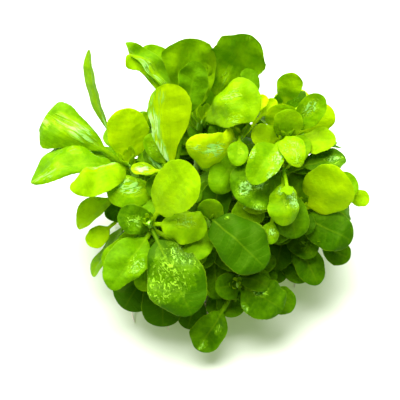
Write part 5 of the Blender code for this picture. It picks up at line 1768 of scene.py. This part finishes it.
@dataclass(frozen=True)
class Studio:
    """A plain floor, white where lit, with a painted green glow that tints its shadow.

    A large soft light from above and behind, a small one for gloss, and a camera.
    """

    floor_size: float = 6.0
    floor_drop: float = 0.00002
    # The lit floor comes out white; in its shadow its slight green and its green glow show, painted light
    # that tints the shadow as light through the leaves would.
    floor_colour: tuple = (0.53, 0.55, 0.50, 1)
    painted_floor_glow: float = 0.24
    painted_glow_colour: tuple = (0.58, 0.86, 0.24, 1)
    sky: float = 0.52
    sun: float = 10.4
    sun_spread: float = 62.0
    sun_from: tuple = (-0.14, 0.3, 1.0)
    gloss: float = 2.4
    gloss_spread: float = 12.0
    gloss_from: tuple = (-0.45, 0.35, 0.9)
    lens: float = 300.0
    sensor: float = 36.0
    pixel: float = 0.28
    pixels: int = 400
    middle: tuple = (-4.2, 15.7, 30.0)

    def floor(self) -> None:
        """A wide square at the height that the tuft rests on."""
        half = self.floor_size / 2
        corners = [(-half, -half), (half, -half), (half, half), (-half, half)]
        mesh = bpy.data.meshes.new("floor")
        mesh.from_pydata([(x, y, -self.floor_drop) for x, y in corners], [], [(0, 1, 2, 3)])
        nodes = Nodes("white_floor")
        # Painted light: the floor glows a little green, which shows only in its shadow.
        inputs = {"Base Color": self.floor_colour, "Roughness": 0.9, "Specular IOR Level": 0.1,
                  "Emission Color": self.painted_glow_colour, "Emission Strength": self.painted_floor_glow}
        shader = nodes.add("BsdfPrincipled", inputs)
        mesh.materials.append(nodes.finish(shader.outputs[0]))
        floor = bpy.data.objects.new("floor", mesh)
        bpy.context.scene.collection.objects.link(floor)

    def lights(self) -> None:
        """The soft key light, a smaller one that shows in gloss alone, and an even pale sky."""
        scene = bpy.context.scene
        world = bpy.data.worlds.new("pale_sky")
        world.use_nodes = True
        background = world.node_tree.nodes["Background"]
        background.inputs["Color"].default_value = (1, 1, 1, 1)
        background.inputs["Strength"].default_value = self.sky
        scene.world = world
        self.add_sun("key", self.sun, self.sun_spread, self.sun_from)
        gloss = self.add_sun("gloss", self.gloss, self.gloss_spread, self.gloss_from)
        gloss.visible_diffuse = False
        gloss.visible_transmission = False

    def add_sun(self, name: str, strength: float, spread: float, place: tuple) -> bpy.types.Object:
        """Adds a far light.

        Args:
            name: its name.
            strength: its strength, watts a square metre.
            spread: its angle in the sky, degrees.
            place: the way from the tuft to the light.

        Returns:
            The lamp.
        """
        light = bpy.data.lights.new(name, "SUN")
        light.energy = strength
        light.angle = radians(spread)
        lamp = bpy.data.objects.new(name, light)
        lamp.rotation_mode = "QUATERNION"
        lamp.rotation_quaternion = Vector(place).to_track_quat("Z", "Y")
        bpy.context.scene.collection.objects.link(lamp)
        return lamp

    def camera(self) -> None:
        """A long lens that looks down at the view's slope, its frame as wide as the photo's."""
        data = bpy.data.cameras.new("camera")
        data.lens = self.lens
        data.sensor_width = self.sensor
        width = self.pixel * self.pixels * MM
        distance = width * self.lens / self.sensor
        slope = radians(VIEW_SLOPE)
        back = Vector((0, -cos(slope), sin(slope)))
        camera = bpy.data.objects.new("camera", data)
        camera.location = seen(*self.middle) * MM + back * distance
        camera.rotation_euler = (pi / 2 - slope, 0, 0)
        data.clip_start = distance * 0.1
        data.clip_end = distance * 100
        bpy.context.scene.collection.objects.link(camera)
        bpy.context.scene.camera = camera

    def build(self) -> None:
        """Sets up the floor, the lights, the camera and plain display colours."""
        self.floor()
        self.lights()
        self.camera()
        bpy.context.scene.view_settings.view_transform = "Standard"


@dataclass
class Tuft:
    """The whole tuft: its leaves, its shoots and its roots."""

    large_maker: LeafMaker = field(default_factory=LeafMaker)
    small_maker: LeafMaker = field(default_factory=lambda: LeafMaker(
        rows=30, sides=20, stalk_rows=7, rib=0.18, rib_reach=0.4, crease=0.15, crease_reach=0.6, quilt=0.05,
        vein_gap=1.6, blade_thickness=0.18, lump=0.12, lump_length=6.0))
    young_maker: LeafMaker = field(default_factory=lambda: LeafMaker(
        rows=16, sides=12, stalk_rows=4, stalk_width=0.6, stalk_thickness=0.25, blade_thickness=0.14,
        rib=0.08, rib_reach=0.3, crease=0.06, crease_reach=0.4, quilt=0.02, vein_gap=0.9, lump=0.03,
        lump_length=3.0))
    stem_maker: StemMaker = field(default_factory=StemMaker)
    young: YoungLeaves = field(default_factory=YoungLeaves)
    wet_chance: float = 0.3
    leaf_seed: int = 100
    shoot_seed: int = 500
    sunk: float = 0.7

    def build(self) -> None:
        """Settles every leaf, then makes the pieces one by one."""
        roots = RootPlan()
        settling = Settling(roots)
        large, small = settling.settle_all()
        log.info("settled %d large leaves and %d small ones", len(large), sum(map(len, small.values())))
        leaf_material = LeafFinish().material()
        stem_material = StemFinish().material()
        slots = {Tone.LIME: Finish.LIME_LEAF, Tone.GREEN: Finish.GREEN_LEAF, Tone.DEEP: Finish.DEEP_LEAF}
        for number, leaf in enumerate(large):
            self.add_leaf(number, leaf, settling.stems[leaf.shoot], leaf_material, slots[leaf.tone])
        for number, (name, leaves) in enumerate(small.items()):
            surfaces = self.shoot_surfaces(number, settling.stems[name], leaves)
            Piece(f"fine_shoot_{name}", surfaces, [leaf_material, stem_material], Finish.SHOOT,
                  f"shoot_{name}")
        threads = RootThreads(roots)
        Piece("fine_root_mat", threads.surfaces(), [RootFinish().material()], Finish.ROOTS, "root_mat")

    def add_leaf(self, number: int, leaf: Leaf, stem: Stem, material: bpy.types.Material,
                 slot: Finish) -> None:
        """Makes a large leaf, its stalk run on into the stem, and says if it left its solid's place.

        Args:
            number: the leaf's number, which seeds its random numbers.
            leaf: the leaf, settled.
            stem: the stem that it grows from.
            material: the leaf material.
            slot: the piece's finish, handed on to it.
        """
        habit = HABITS.get(leaf.name, Habit())
        leaf = habit.pose(leaf)
        midrib = Midrib(leaf, stem, False)
        luck = np.random.default_rng(self.leaf_seed + number)
        into = GAP + stem.radius(leaf.along) * self.sunk
        surface = self.large_maker.surface(leaf, midrib, habit, luck, into)
        low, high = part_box(leaf.name)
        outside = max((np.array(low) / MM - surface.points.min(axis=0)).max(),
                      (surface.points.max(axis=0) - np.array(high) / MM).max())
        log.info("%s: outside its solid's box by %.2f mm", leaf.name, outside)
        Piece(f"fine_{leaf.name}", [surface], [material], slot, leaf.name)

    def chance_habit(self, luck: Luck) -> Habit:
        """A small leaf's habit by chance: the shape of its tip, its waves, and a wet patch or none."""
        patch = Wet(luck.uniform(0.3, 0.7), luck.uniform(-0.6, 0.6), 0.4, luck.uniform(0.8, 1.2))
        return Habit(tip=luck.uniform(0.45, 0.58), wave=luck.uniform(0.1, 0.3),
                     wet=(patch,) if luck.uniform() < self.wet_chance else ())

    def shoot_surfaces(self, number: int, stem: Stem, leaves: list[Leaf]) -> list[Surface]:
        """The stem, its small leaves and its young leaves.

        Args:
            number: the shoot's number, which seeds its random numbers.
            stem: the stem.
            leaves: its small leaves, settled.

        Returns:
            The surfaces, leaves with the first material and the stem with the second.
        """
        luck = np.random.default_rng(self.shoot_seed + number)
        surfaces = [self.stem_maker.surface(stem, luck, 1)]
        for leaf in leaves:
            habit = HABITS.get(leaf.name, self.chance_habit(luck))
            leaf = habit.pose(leaf)
            surfaces.append(self.small_maker.surface(leaf, Midrib(leaf, stem, True), habit, luck))
        for leaf, midrib in self.young.leaves(stem):
            surfaces.append(self.young_maker.surface(leaf, midrib, Habit(wave=0.05), luck))
        return surfaces


def main() -> None:
    """Builds the studio and the tuft."""
    logging.basicConfig(level=logging.INFO, format="%(name)s: %(message)s")
    Studio().build()
    Tuft().build()


if __name__ == "__main__":
    main()
